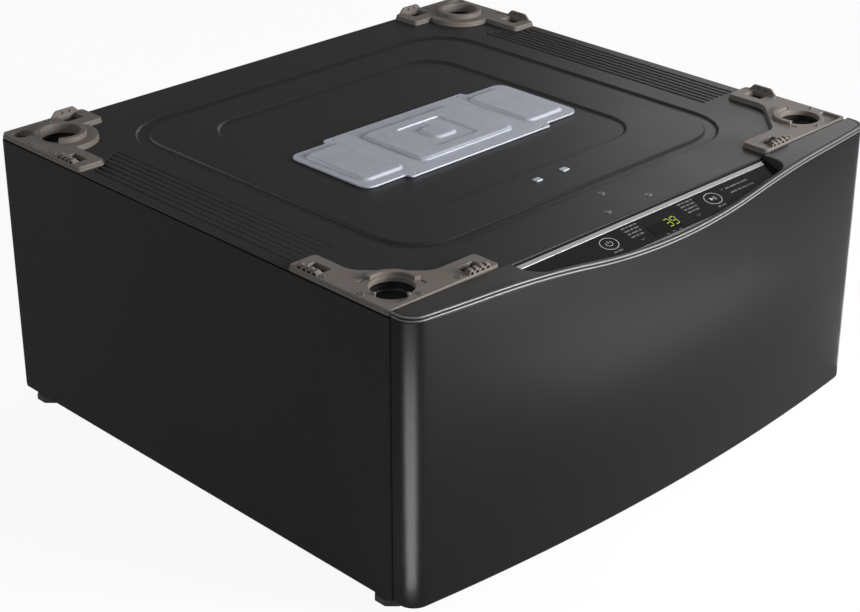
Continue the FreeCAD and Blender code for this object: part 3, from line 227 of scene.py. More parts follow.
@dataclass(frozen=True)
class Finish:
    """What all finishes share."""

    name: str
    colour: Triple
    roughness: float
    metallic: float = 0.0
    specular: float = 0.5
    coat: float = 0.0
    coat_roughness: float = 0.1

    @cache
    def material(self) -> bpy.types.Material:
        """Make the finish's material the first time it is asked for.

        Returns:
            The material.
        """
        graph = FinishGraph(self.name)
        graph.start()
        even = {"Metallic": self.metallic, "Specular IOR Level": self.specular, "Coat Weight": self.coat,
                "Coat Roughness": self.coat_roughness}
        for socket, value in even.items():
            graph.feed(socket, value)
        self.dress(graph)
        return graph.material

    def dress(self, graph: FinishGraph) -> None:
        """Set the pattern, which each kind of finish has of its own."""
        raise NotImplementedError

    def shade(self, share: float) -> Triple:
        """The colour made darker or lighter by a share."""
        return tuple(min(1.0, channel * share) for channel in self.colour)


@dataclass(frozen=True)
class Paint(Finish):
    """Sprayed paint: orange peel, faint clouds of colour, rubbed and dusty patches, fine flake."""

    peel: float = 420.0
    peel_depth: float = 0.035 * MM
    cloud: float = 5.0
    flake: float = 0.0

    def dress(self, graph: FinishGraph) -> None:
        """Set the paint's pattern.

        Args:
            graph: The material's nodes.
        """
        clouds = graph.noise(self.cloud, 3.0)
        grain = graph.noise(2600.0, 1.0)
        colour = graph.blend(self.shade(0.86), self.shade(1.14), clouds * 0.7 + grain * 0.3)
        if self.flake:
            sparks = graph.cells(5200.0, "Distance").above(0.13, 0.05)
            colour = graph.blend(self.shade(1.0 + self.flake), colour, sparks)
        rubbed = graph.noise(11.0, 4.0)
        graph.cover(colour, self.roughness - 0.05 + rubbed * 0.1, graph.noise(self.peel, 2.0) + grain * 0.12,
                    self.peel_depth)


@dataclass(frozen=True)
class Moulded(Finish):
    """Moulded plastic: fine spark-eroded grain, flow clouds and, when filled, pale specks."""

    grain: float = 1500.0
    grain_depth: float = 0.03 * MM
    specks: float = 0.0

    def dress(self, graph: FinishGraph) -> None:
        """Set the plastic's pattern.

        Args:
            graph: The material's nodes.
        """
        flow = graph.noise(24.0, 4.0, graph.stretched((1.0, 0.45, 1.0)))
        grain = graph.noise(self.grain, 2.0)
        colour = graph.blend(self.shade(0.88), self.shade(1.12), flow * 0.75 + grain * 0.25)
        if self.specks:
            dots = graph.noise(1900.0, 1.0).above(0.66, 0.05)
            colour = graph.blend(colour, self.shade(1.0 + self.specks), dots * 0.6)
        graph.cover(colour, self.roughness - 0.06 + flow * 0.08 + grain * 0.05, grain, self.grain_depth)


@dataclass(frozen=True)
class Zinc(Finish):
    """Zinc-coated sheet: spangle, rolling lines and dull patches."""

    spangle: float = 95.0
    contrast: float = 0.18

    def dress(self, graph: FinishGraph) -> None:
        """Set the coated sheet's pattern.

        Args:
            graph: The material's nodes.
        """
        shift = {0: graph.noise(60.0, 2.0), 1: (0.004, 0.004, 0.004), 2: graph.place}
        shifted = graph.val("ShaderNodeVectorMath", shift, operation="MULTIPLY_ADD")
        level = graph.val("ShaderNodeSeparateColor", {0: graph.cells(self.spangle, "Color", shifted)})
        lines = graph.noise(14.0, 3.0, graph.stretched((1.0, 60.0, 60.0)))
        dull = graph.noise(9.0, 3.0)
        low, high = self.shade(1 - self.contrast), self.shade(1 + self.contrast)
        graph.cover(graph.blend(low, high, level * 0.55 + lines * 0.45),
                    self.roughness - 0.06 + level * 0.5 * self.contrast + dull * 0.1,
                    lines * 0.6 + level * 0.4, 0.01 * MM)


@dataclass(frozen=True)
class Brushed(Finish):
    """Metal with fine lines along one direction and slight tarnish."""

    lines: Triple = (1.0, 80.0, 80.0)
    depth: float = 0.01 * MM

    def dress(self, graph: FinishGraph) -> None:
        """Set the lines and the tarnish.

        Args:
            graph: The material's nodes.
        """
        lines = graph.noise(30.0, 4.0, graph.stretched(self.lines))
        tarnish = graph.noise(14.0, 4.0)
        graph.cover(graph.blend(self.shade(0.84), self.shade(1.1), lines * 0.6 + tarnish * 0.4),
                    self.roughness - 0.05 + lines * 0.08 + tarnish * 0.05, lines, self.depth)


@dataclass(frozen=True)
class Rubber(Finish):
    """Soft black rubber with bloom and fine pores."""

    def dress(self, graph: FinishGraph) -> None:
        """Set the bloom and the pores.

        Args:
            graph: The material's nodes.
        """
        bloom = graph.noise(35.0, 5.0)
        graph.cover(graph.blend(self.colour, self.shade(2.2), bloom.above(0.58, 0.2) * 0.5),
                    self.roughness - 0.08 + bloom * 0.16, graph.noise(1400.0, 2.0), 0.04 * MM)


@dataclass(frozen=True)
class Gloss(Finish):
    """Polished face with faint wiping marks."""

    def dress(self, graph: FinishGraph) -> None:
        """Set the wiping marks.

        Args:
            graph: The material's nodes.
        """
        wiped = graph.noise(26.0, 5.0, graph.stretched((0.35, 1.0, 1.0)))
        graph.cover(graph.blend(self.shade(0.8), self.shade(1.25), wiped),
                    self.roughness + wiped.above(0.55, 0.2) * 0.06, graph.noise(900.0, 1.0), 0.004 * MM)


@dataclass(frozen=True)
class Glass(Finish):
    """Clear plate with faint water marks."""

    ior: float = 1.5

    def dress(self, graph: FinishGraph) -> None:
        """Set the clear body and the marks.

        Args:
            graph: The material's nodes.
        """
        graph.feed("Transmission Weight", 1.0)
        graph.feed("IOR", self.ior)
        marks = graph.noise(48.0, 5.0)
        graph.cover(graph.blend(self.shade(0.94), self.colour, marks),
                    self.roughness + marks.above(0.6, 0.15) * 0.05)


@dataclass(frozen=True)
class Ink(Finish):
    """Printed mark, thin and slightly uneven, that may glow."""

    glow: float = 0.0

    def dress(self, graph: FinishGraph) -> None:
        """Set the print's cover and glow.

        Args:
            graph: The material's nodes.
        """
        cover = graph.noise(1800.0, 2.0)
        colour = graph.blend(self.shade(0.86), self.colour, cover)
        graph.cover(colour, self.roughness + cover * 0.08)
        if self.glow:
            graph.feed("Emission Color", colour)
            graph.feed("Emission Strength", self.glow)


@dataclass(frozen=True)
class Wound(Finish):
    """Lacquered copper in close turns."""

    turns: float = 320.0

    def dress(self, graph: FinishGraph) -> None:
        """Set the turns, with painted shade in the grooves between them.

        Args:
            graph: The material's nodes.
        """
        wire = graph.val("ShaderNodeTexWave", {"Vector": graph.place, "Scale": self.turns, "Distortion": 1.2}, "Fac",
                         bands_direction="Z")
        lacquer = graph.noise(60.0, 3.0)
        # Painted shade: the colour falls to 0.45 of the copper in the grooves between turns, where the bump is
        # lowest.
        graph.cover(graph.blend(self.shade(0.45), self.colour, wire * 0.7 + lacquer * 0.3),
                    self.roughness + lacquer * 0.12, wire, 0.3 * MM)


@dataclass(frozen=True)
class Board(Finish):
    """Circuit board: lacquer over faint tracks."""

    def dress(self, graph: FinishGraph) -> None:
        """Set the tracks.

        Args:
            graph: The material's nodes.
        """
        tracks = graph.cells(260.0, "Distance", graph.stretched((0.3, 1.0, 1.0))).above(0.35, 0.04)
        graph.cover(graph.blend(self.shade(1.7), self.colour, tracks),
                    self.roughness + graph.noise(30.0, 2.0) * 0.12, tracks, 0.03 * MM)


class Finishes:
    """Every finish of the machine."""

    SIDE = Paint("side_paint", tone(44, 44, 45), 0.55, specular=0.22)
    TOP = Paint("top_paint", tone(36, 36, 37), 0.42, specular=0.28, peel=300.0, cloud=3.0)
    FRONT = Paint("front_paint", tone(17, 17, 17), 0.36, specular=0.2, coat=0.08, coat_roughness=0.2,
                  peel=260.0, peel_depth=0.02 * MM, flake=1.4)
    REAR = Zinc("rear_zinc", tone(150, 153, 157), 0.46, metallic=1.0)
    ZINC = Zinc("plate_zinc", tone(186, 190, 200), 0.56, metallic=0.4, specular=0.35, contrast=0.06)
    FRAME = Zinc("frame_zinc", tone(166, 169, 172), 0.5, metallic=0.6, spangle=60.0)
    BRACKET = Moulded("bracket_plastic", tone(110, 103, 98), 0.5, specular=0.4, specks=0.35)
    CAP = Moulded("cap_plastic", tone(46, 45, 44), 0.4, specular=0.4, grain_depth=0.02 * MM)
    FACE = Gloss("control_gloss", tone(14, 14, 15), 0.08, specular=0.5, coat=0.3, coat_roughness=0.04)
    LENS = Gloss("display_gloss", tone(10, 11, 12), 0.05, specular=0.5)
    TRIM = Brushed("bright_trim", tone(126, 126, 127), 0.48, metallic=0.7, lines=(1.0, 40.0, 200.0))
    TRIM_CORE = Moulded("trim_groove", tone(20, 20, 20), 0.5, specular=0.3)
    STRIP = Brushed("satin_strip", tone(186, 185, 184), 0.4, metallic=0.6, lines=(0.3, 120.0, 120.0))
    SCREW = Brushed("screw_zinc", tone(190, 188, 184), 0.3, metallic=1.0, lines=(60.0, 60.0, 2.0))
    DULL_SCREW = Brushed("dull_screw", tone(136, 133, 130), 0.36, metallic=0.75, lines=(60.0, 60.0, 2.0))
    STEEL = Brushed("shaft_steel", tone(182, 184, 187), 0.28, metallic=1.0, lines=(60.0, 60.0, 3.0))
    BASKET = Brushed("basket_steel", tone(192, 194, 197), 0.26, metallic=1.0, lines=(8.0, 8.0, 120.0))
    RUNNER = Zinc("runner_zinc", tone(172, 174, 176), 0.46, metallic=0.6, spangle=140.0)
    FOOT = Moulded("foot_plastic", tone(76, 76, 79), 0.5)
    TUB = Moulded("tub_plastic", tone(150, 152, 155), 0.48, grain=900.0)
    COVER = Moulded("cover_plastic", tone(118, 121, 125), 0.44, grain=1100.0)
    LID = Moulded("lid_plastic", tone(70, 72, 75), 0.36)
    SEAL = Rubber("seal_rubber", tone(42, 42, 43), 0.68)
    HOSE = Rubber("hose_rubber", tone(34, 34, 35), 0.6)
    GLASS = Glass("lid_glass", (0.86, 0.89, 0.9), 0.02)
    WINDING = Wound("copper_winding", tone(184, 108, 58), 0.36, metallic=1.0)
    PULSATOR = Moulded("pulsator_plastic", tone(214, 216, 217), 0.34, grain_depth=0.015 * MM)
    VALVE = Moulded("valve_plastic", tone(206, 205, 198), 0.42)
    BOARD = Board("board_green", tone(26, 74, 44), 0.36)
    CASE = Moulded("case_plastic", tone(60, 61, 63), 0.46)
    MARK = Ink("pale_print", tone(176, 178, 180), 0.45)
    FAINT = Ink("faint_print", tone(98, 99, 102), 0.45)
    DIGIT = Ink("lit_digit", tone(136, 150, 50), 0.4, glow=1.0)


class Body(Enum):
    """The moving groups of the machine."""

    CABINET = "cabinet"
    DRAWER = "drawer"
    TUB = "tub_group"
    BASKET = "basket_group"
    AGITATOR = "agitator"
    LID = "lid"
    FOOT_FRONT_LEFT = "foot_front_left"
    FOOT_FRONT_RIGHT = "foot_front_right"
    FOOT_REAR_LEFT = "foot_rear_left"
    FOOT_REAR_RIGHT = "foot_rear_right"


class Edge(Enum):
    """How a plate's edge is shaped."""

    ROUND = "round"
    SOFT = "soft"


@dataclass
class Loop:
    """One closed outline of a plate, with the shape of its edge."""

    points: list[Point]
    size: float = 0.6 * MM
    edge: Edge = Edge.ROUND

    def rings(self, height: float) -> list[Point]:
        """The edge's course from the bottom to the top.

        Args:
            height: The plate's thickness.

        Returns:
            Pairs of how far to move into the material and the height above the bottom.
        """
        steps = ROUND_STEPS
        if self.edge is Edge.SOFT:
            course = []
            for i in range(steps + 1):
                share = i / steps
                rise = share * share * (3 - 2 * share)
                course.append((self.size * (2 * share - 1), height * rise))
            return [*course, (self.size * FLAT_RING, height)]
        size = min(self.size, height / 2)
        course = [(0.0, 0.0)]
        for i in range(steps):
            angle = math.pi / 2 * i / (steps - 1)
            course.append((size * (1 - math.cos(angle)), height - size * (1 - math.sin(angle))))
        return [*course, (size * FLAT_RING, height)]


def signed_area(points: Sequence[Point]) -> float:
    """Area of a loop, positive when it runs anticlockwise."""
    return sum(p[0] * q[1] - q[0] * p[1] for p, q in zip(points, [*points[1:], points[0]])) / 2


def moved_left(points: Sequence[Point], distance: float) -> list[Point]:
    """Move a closed loop to the left of its course.

    Args:
        points: The loop.
        distance: How far, in metres.

    Returns:
        The new loop with as many points.
    """
    moved = []
    count = len(points)
    for i, point in enumerate(points):
        here = Vector(point)
        back = (here - Vector(points[i - 1])).normalized()
        ahead = (Vector(points[(i + 1) % count]) - here).normalized()
        along = (back + ahead).normalized()
        normal = Vector((-along.y, along.x))
        stretch = min(2.0, 1 / max(0.5, abs(along.dot(ahead))))
        moved.append(tuple(here + normal * distance * stretch))
    return moved


def rounded(corners: Sequence[Triple], steps: int = ROUND_STEPS) -> list[Point]:
    """Close a straight-sided outline with an arc at each corner.

    Args:
        corners: Corners as x, y and radius.
        steps: Steps along each arc.

    Returns:
        The outline's points.
    """
    points: list[Point] = []
    count = len(corners)
    for i, (x, y, radius) in enumerate(corners):
        here = Vector((x, y))
        if radius <= 0:
            points.append((x, y))
            continue
        back = (Vector(corners[i - 1][:2]) - here).normalized()
        ahead = (Vector(corners[(i + 1) % count][:2]) - here).normalized()
        half_angle = back.angle(ahead) / 2
        reach = radius / math.tan(half_angle)
        centre = here + (back + ahead).normalized() * (radius / math.sin(half_angle))
        start = here + back * reach - centre
        end = here + ahead * reach - centre
        turn = start.angle_signed(end)
        for k in range(steps + 1):
            spot = start.copy()
            spot.rotate(Matrix.Rotation(-turn * k / steps, 2))
            points.append(tuple(centre + spot))
    return points


def rounded_box(x0: float, x1: float, y0: float, y1: float, radius: float) -> list[Point]:
    """A rectangle with rounded corners."""
    return rounded([(x0, y0, radius), (x1, y0, radius), (x1, y1, radius), (x0, y1, radius)])


def circle(x: float, y: float, radius: float, steps: int = 32) -> list[Point]:
    """A round outline."""
    turns = [2 * math.pi * i / steps for i in range(steps)]
    return [(x + radius * math.cos(t), y + radius * math.sin(t)) for t in turns]


def arc(x: float, y: float, radius: float, start: float, end: float, steps: int) -> list[Point]:
    """Points along an arc, angles in radians."""
    turns = [start + (end - start) * i / steps for i in range(steps + 1)]
    return [(x + radius * math.cos(t), y + radius * math.sin(t)) for t in turns]


def stroke(points: Sequence[Point], wide: float) -> list[Point]:
    """Outline of a line of even width through open points.

    Args:
        points: The line's points.
        wide: Its width.

    Returns:
        The closed outline.
    """
    left: list[Point] = []
    right: list[Point] = []
    for i, point in enumerate(points):
        before = Vector(points[max(i - 1, 0)])
        after = Vector(points[min(i + 1, len(points) - 1)])
        along = (after - before).normalized()
        normal = Vector((-along.y, along.x)) * wide / 2
        left.append(tuple(Vector(point) + normal))
        right.append(tuple(Vector(point) - normal))
    return right + left[::-1]


def make_object(name: str, mesh: bpy.types.Mesh) -> Piece:
    """Put a mesh into the scene as an object at the origin.

    Args:
        name: Its name.
        mesh: Its mesh.

    Returns:
        The object.
    """
    piece = bpy.data.objects.new(name, mesh)
    bpy.context.scene.collection.objects.link(piece)
    return piece


def from_faces(name: str, spots: Sequence[Vector], faces: Sequence[Sequence[int]]) -> Piece:
    """Make a closed piece with its faces turned outwards.

    Args:
        name: The piece's name.
        spots: Corner places.
        faces: Corner numbers of each face.

    Returns:
        The object.
    """
    mesh = bpy.data.meshes.new(name)
    mesh.from_pydata([tuple(s) for s in spots], [], [tuple(f) for f in faces])
    shell = bmesh.new()
    shell.from_mesh(mesh)
    bmesh.ops.remove_doubles(shell, verts=shell.verts, dist=0.002 * MM)
    bmesh.ops.recalc_face_normals(shell, faces=shell.faces)
    shell.to_mesh(mesh)
    shell.free()
    return make_object(name, mesh)


def plate(name: str, loops: Sequence[Loop], z0: float, z1: float, warp: Warp | None = None) -> Piece:
    """Make a plate with holes whose upper edges are shaped.

    Args:
        name: The piece's name.
        loops: The outer outline first, then the holes.
        z0: Bottom height.
        z1: Top height.
        warp: Takes each point to its final place; none leaves it.

    Returns:
        The object.
    """
    spots: list[Vector] = []
    faces: list[Sequence[int]] = []
    lower: list[list[int]] = []
    upper: list[list[int]] = []
    for number, loop in enumerate(loops):
        anticlockwise = signed_area(loop.points) > 0
        points = loop.points if anticlockwise == (number == 0) else loop.points[::-1]
        rows: list[list[int]] = []
        for inset, height in loop.rings(z1 - z0):
            first = len(spots)
            spots += [Vector((x, y, z0 + height)) for x, y in moved_left(points, inset)]
            rows.append(list(range(first, len(spots))))
        for low, high in zip(rows, rows[1:]):
            count = len(low)
            for i in range(count):
                j = (i + 1) % count
                faces.append((low[i], low[j], high[j], high[i]))
        lower.append(rows[0])
        upper.append(rows[-1])
    for rows in (lower, upper):
        numbers = [i for row in rows for i in row]
        flat = [[Vector((spots[i].x, spots[i].y, 0)) for i in row] for row in rows]
        faces += [[numbers[i] for i in triangle] for triangle in tessellate_polygon(flat)]
    if warp:
        spots = [warp(*spot) for spot in spots]
    return from_faces(name, spots, faces)


def turned(name: str, profile: Sequence[Point], centre: Vector, steps: int = 96) -> Piece:
    """Turn a closed profile about an upright axis.

    Args:
        name: The piece's name.
        profile: Radius and height of each point.
        centre: A point on the axis.
        steps: Steps round the axis.

    Returns:
        The object.
    """
    spots = []
    faces = []
    count = len(profile)
    for i in range(steps):
        angle = 2 * math.pi * i / steps
        spots += [centre + Vector((r * math.cos(angle), r * math.sin(angle), z)) for r, z in profile]
        base, following = i * count, (i + 1) % steps * count
        for k in range(count):
            m = (k + 1) % count
            if profile[k][0] > 0 or profile[m][0] > 0:
                faces.append((base + k, following + k, following + m, base + m))
    return from_faces(name, spots, faces)


def joined(name: str, pieces: Sequence[Piece]) -> Piece:
    """Put several closed pieces into one object.

    Args:
        name: The new piece's name.
        pieces: The pieces; they are removed.

    Returns:
        The new piece.
    """
    shell = bmesh.new()
    for piece in pieces:
        shell.from_mesh(piece.data)
        bpy.data.objects.remove(piece)
    mesh = bpy.data.meshes.new(name)
    shell.to_mesh(mesh)
    shell.free()
    return make_object(name, mesh)


def hand_over(piece: Piece, finish: Finish, body: Body, slot: str, *nodes: str,
              crease: float = 35.0) -> None:
    """Dress a piece, smooth it, put it on its body and let it stand for CAD nodes.

    Args:
        piece: The piece.
        finish: Its finish.
        body: The body it rides on.
        slot: The record's material slot; not used.
        nodes: CAD nodes that it replaces.
        crease: Edges sharper than this many degrees stay sharp.
    """
    piece.data.materials.clear()
    piece.data.materials.append(finish.material())
    piece.data.shade_smooth()
    piece.data.set_sharp_from_angle(angle=math.radians(crease))
    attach(piece, body.value)
    if nodes:
        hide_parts(*nodes)
    LOG.info("%s: %d faces on %s", piece.name, len(piece.data.polygons), body.value)


def hand_between(piece: Piece, bodies: tuple[Body, Body], start: Triple, end: Triple,
                 node: str) -> None:
    """Smooth a soft piece, let it stretch between two bodies and stand for a CAD node.

    Args:
        piece: The piece, already dressed.
        bodies: The bodies that would hold its start and its end; only named in the log.
        start: Where the first body alone still holds it; not used.
        end: Where the second body alone holds it; not used.
        node: The CAD node that it replaces.
    """
    piece.data.shade_smooth()
    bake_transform(piece)
    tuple(start)
    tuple(end)
    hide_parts(node)
    LOG.info("%s: %d faces between %s and %s", piece.name, len(piece.data.polygons), *[b.value for b in bodies])


def plain_mesh(piece: Piece) -> bpy.types.Mesh:
    """What an object's modifiers make of it."""
    graph = bpy.context.evaluated_depsgraph_get()
    return bpy.data.meshes.new_from_object(piece.evaluated_get(graph), depsgraph=graph)


class ShapeGraph(Graph):
    """A Geometry Nodes tree with named sizes."""

    def __init__(self, name: str, sizes: Mapping[str, float]) -> None:
        """Make the tree with one geometry input and a number input for each size.

        Args:
            name: The tree's name.
            sizes: What each number input is set to, by name.
        """
        super().__init__(bpy.data.node_groups.new(name, "GeometryNodeTree"))
        self.sizes = dict(sizes)
        face = self.tree.interface
        face.new_socket("Geometry", in_out="INPUT", socket_type="NodeSocketGeometry")
        self.keys = {label: face.new_socket(label, in_out="INPUT", socket_type="NodeSocketFloat").identifier
                     for label in sizes}
        face.new_socket("Geometry", in_out="OUTPUT", socket_type="NodeSocketGeometry")
        self.entry = self.node("NodeGroupInput")

    def size(self, label: str) -> Val:
        """One of the named sizes."""
        return Val(self, self.entry.outputs[label])

    def geometry(self) -> Val:
        """What the tree is put on."""
        return Val(self, self.entry.outputs["Geometry"])

    def vector(self, x: Any = 0.0, y: Any = 0.0, z: Any = 0.0) -> Val:
        """A vector from three numbers or values."""
        return self.val("ShaderNodeCombineXYZ", {0: x, 1: y, 2: z})

    def tube(self, curve: Val, radius: Val, sides: int) -> bpy.types.Node:
        """The node that makes a tube along a curve, with closed ends."""
        ring = self.val("GeometryNodeCurvePrimitiveCircle", {"Resolution": sides, "Radius": radius})
        return self.node("GeometryNodeCurveToMesh", {"Curve": curve, "Profile Curve": ring, "Fill Caps": True})

    def run(self, name: str, base: Piece, result: Val, finish: Finish) -> Piece:
        """End the tree, run it on a base object and keep the plain mesh.

        Args:
            name: The finished piece's name.
            base: The object that the tree starts from; it is removed.
            result: The geometry to keep.
            finish: The finish of every face.

        Returns:
            The piece.
        """
        real = self.val("GeometryNodeRealizeInstances", {"Geometry": result})
        dressed = self.val("GeometryNodeSetMaterial", {"Geometry": real, "Material": finish.material()})
        self.node("NodeGroupOutput", {0: dressed})
        modifier = base.modifiers.new(name, "NODES")
        modifier.node_group = self.tree
        for label, value in self.sizes.items():
            modifier[self.keys[label]] = value
        mesh = plain_mesh(base)
        bpy.data.objects.remove(base)
        mesh.name = name
        return make_object(name, mesh)


def point_cloud(spots: Sequence[Vector]) -> Piece:
    """Loose points for a tree to put instances on.

    Args:
        spots: Where they are.

    Returns:
        The object that holds them.
    """
    mesh = bpy.data.meshes.new("spots")
    mesh.from_pydata([tuple(s) for s in spots], [], [])
    return make_object("spots", mesh)


def dress_node(node: str, finish: Finish) -> None:
    """Give a CAD node its finish.

    Args:
        node: The node's name.
        finish: Its finish.
    """
    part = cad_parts[node]
    if not part.material_slots:
        part.data.materials.append(None)
    for slot in part.material_slots:
        slot.material = finish.material()
    LOG.info("%s: solid with %s", node, finish.name)


@dataclass(frozen=True)
class Levels:
    """Main planes of the machine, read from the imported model."""

    half: float
    front: float
    back: float
    bottom: float
    top: float
    deck: float
    nose: float
    seam: float

    @classmethod
    def read(cls) -> "Levels":
        """Take the planes from the nodes' boxes.

        Returns:
            The planes.
        """
        side_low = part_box("left_side_panel")[0]
        sheet_low, sheet_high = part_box("top_panel")
        bracket_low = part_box("front_left_bracket")[0]
        cap_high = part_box("front_cap")[1]
        skin_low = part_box("front_panel")[0]
        return cls(-side_low.x, sheet_low.y, sheet_high.y, side_low.z, bracket_low.z, cap_high.z,
                   skin_low.y, cap_high.y)


@dataclass
class TopPanel:
    """Stamped top sheet with channel, sunk field, edge grooves and two clip tabs."""

    levels: Levels
    margin: float = 0.6 * MM
    corner: float = 4.0 * MM
    edge: float = 1.1 * MM
    stamp: float = 2.4 * MM
    floor: float = 1.2 * MM
    soft: float = 1.8 * MM
    channel_side: float = 102.5 * MM
    channel_end: float = 73.0 * MM
    channel_wide: float = 15.0 * MM
    channel_corner: float = 70.0 * MM
    field_side: float = 183.5 * MM
    field_front: float = 155.0 * MM
    field_rear: float = 136.0 * MM
    field_corner: float = 50.0 * MM
    groove_count: int = 7
    groove_side: float = 17.0 * MM
    groove_end: float = 158.0 * MM
    groove_pitch: float = 8.6 * MM
    groove_wide: float = 3.4 * MM
    groove_stagger: float = 5.0 * MM
    groove_soft: float = 0.8 * MM
    lip: float = 14.0 * MM
    lip_side: float = 19.0 * MM
    cup_depth: float = 10.0 * MM
    cup_radius: float = 23.5 * MM
    cup_round: float = 3.0 * MM
    front_cup: Point = (40.0 * MM, 38.0 * MM)
    rear_cup: Point = (45.0 * MM, 55.0 * MM)
    clip_from_front: float = 131.0 * MM
    clip_spacing: float = 43.0 * MM
    clip_half: Point = (5.0 * MM, 4.0 * MM)
    clip_rise: float = 1.4 * MM
    clip_corner: float = 1.0 * MM

    def framed(self, side: float, front: float, rear: float, radius: float) -> list[Point]:
        """A rounded outline by its margins from the cabinet's edges."""
        at = self.levels
        return rounded_box(side - at.half, at.half - side, at.front + front, at.back - rear, radius)

    def channel(self, grow: float) -> tuple[list[Point], list[Point]]:
        """Outer and inner outline of the channel, grown by a distance.

        Args:
            grow: The distance, in metres.

        Returns:
            The two outlines.
        """
        step = self.channel_wide + grow
        outer = self.framed(self.channel_side - grow, self.channel_end - grow, self.channel_end - grow,
                            self.channel_corner + grow)
        inner = self.framed(self.channel_side + step, self.channel_end + step, self.channel_end + step,
                            self.channel_corner - step)
        return outer, inner

    def field_outline(self, grow: float) -> list[Point]:
        """Outline of the sunk field, grown by a distance."""
        return self.framed(self.field_side - grow, self.field_front - grow, self.field_rear - grow,
                           self.field_corner + grow)

    def grooves(self) -> list[Loop]:
        """The grooves along both edges.

        Returns:
            Their outlines, edges included.
        """
        at = self.levels
        loops = []
        radius = self.groove_wide / 2
        for i in range(self.groove_count):
            x = at.half - self.groove_side - i * self.groove_pitch
            y0 = at.front + self.groove_end
            y1 = at.back - self.groove_end + i * self.groove_stagger
            for side in (-1, 1):
                ends = arc(side * x, y1, radius, 0, math.pi, 8) + arc(side * x, y0, radius, math.pi, 2 * math.pi, 8)
                loops.append(Loop(ends, self.groove_soft, Edge.SOFT))
        return loops

    def cups(self) -> list[Point]:
        """Centres of the cups under the foot pockets.

        Returns:
            Places on the sheet.
        """
        at = self.levels
        front, rear = at.front + self.front_cup[1], at.back - self.rear_cup[1]
        centres = []
        for side in (-1, 1):
            centres += [(side * (at.half - self.front_cup[0]), front), (side * (at.half - self.rear_cup[0]), rear)]
        return centres

    def cup(self, x: float, y: float) -> Piece:
        """Make one cup with a rounded foot.

        Args:
            x: Its centre from side to side.
            y: Its centre from front to rear.

        Returns:
            The cup.
        """
        r, s, c = self.cup_radius, self.floor, self.cup_round
        z1 = self.levels.top - OVERLAP
        z0 = self.levels.top - self.cup_depth
        inner = arc(r - c, z0 + c, c, 0, -math.pi / 2, 5)
        outer = arc(r - c, z0 + c, c + s, -math.pi / 2, 0, 5)
        return turned("cup", [(r, z1), *inner, (0.0, z0), (0.0, z0 - s), *outer, (r + s, z1)], Vector((x, y, 0)), 48)

    def build(self) -> None:
        """Make the sheet and the clip tabs."""
        at = self.levels
        low = at.top - self.stamp
        outer, inner = self.channel(0)
        spare = 2 * self.soft
        edge = Loop(self.framed(self.margin, 0, 0, self.corner), self.edge)
        mouths = [Loop(circle(x, y, self.cup_radius, 48), CRISP_EDGE) for x, y in self.cups()]
        parts = [
            plate("rim", [edge, Loop(outer, self.soft, Edge.SOFT), *self.grooves(), *mouths], low, at.top),
            plate("band", [Loop(inner, self.soft, Edge.SOFT),
                           Loop(self.field_outline(0), self.soft, Edge.SOFT)], low, at.top),
        ]
        wide_outer, wide_inner = self.channel(spare)
        parts.append(plate("channel_floor", [Loop(wide_outer, 0), Loop(wide_inner, 0)], low - self.floor, low))
        parts.append(plate("field_floor", [Loop(self.field_outline(spare), 0)], low - self.floor, low))
        bed_inner = self.groove_side + self.groove_count * self.groove_pitch
        bed_ends = (at.front + self.groove_end - spare,
                    at.back - self.groove_end + spare + self.groove_count * self.groove_stagger)
        for side in (-1, 1):
            xs = sorted((side * (at.half - self.groove_side + spare), side * (at.half - bed_inner)))
            parts.append(plate("groove_bed", [Loop(rounded_box(*xs, *bed_ends, spare), 0)],
                               low - self.floor / 2, low))
        lip = at.half - self.lip_side
        parts.append(plate("lip", [Loop(rounded_box(-lip, lip, at.front, at.front + self.floor, 0), 0)],
                           at.top - self.lip, low))
        parts += [self.cup(x, y) for x, y in self.cups()]
        hand_over(joined("top_sheet", parts), Finishes.TOP, Body.CABINET, "top_black", "top_panel")
        tabs = []
        for side in (-1, 1):
            x = side * self.clip_spacing / 2
            y = at.front + self.clip_from_front
            outline = rounded_box(x - self.clip_half[0], x + self.clip_half[0], y - self.clip_half[1],
                                  y + self.clip_half[1], self.clip_corner)
            tabs.append(plate("tab", [Loop(outline, EASED_EDGE)], at.top, at.top + self.clip_rise))
        hand_over(joined("clip_tabs", tabs), Finishes.ZINC, Body.CABINET, "zinc")


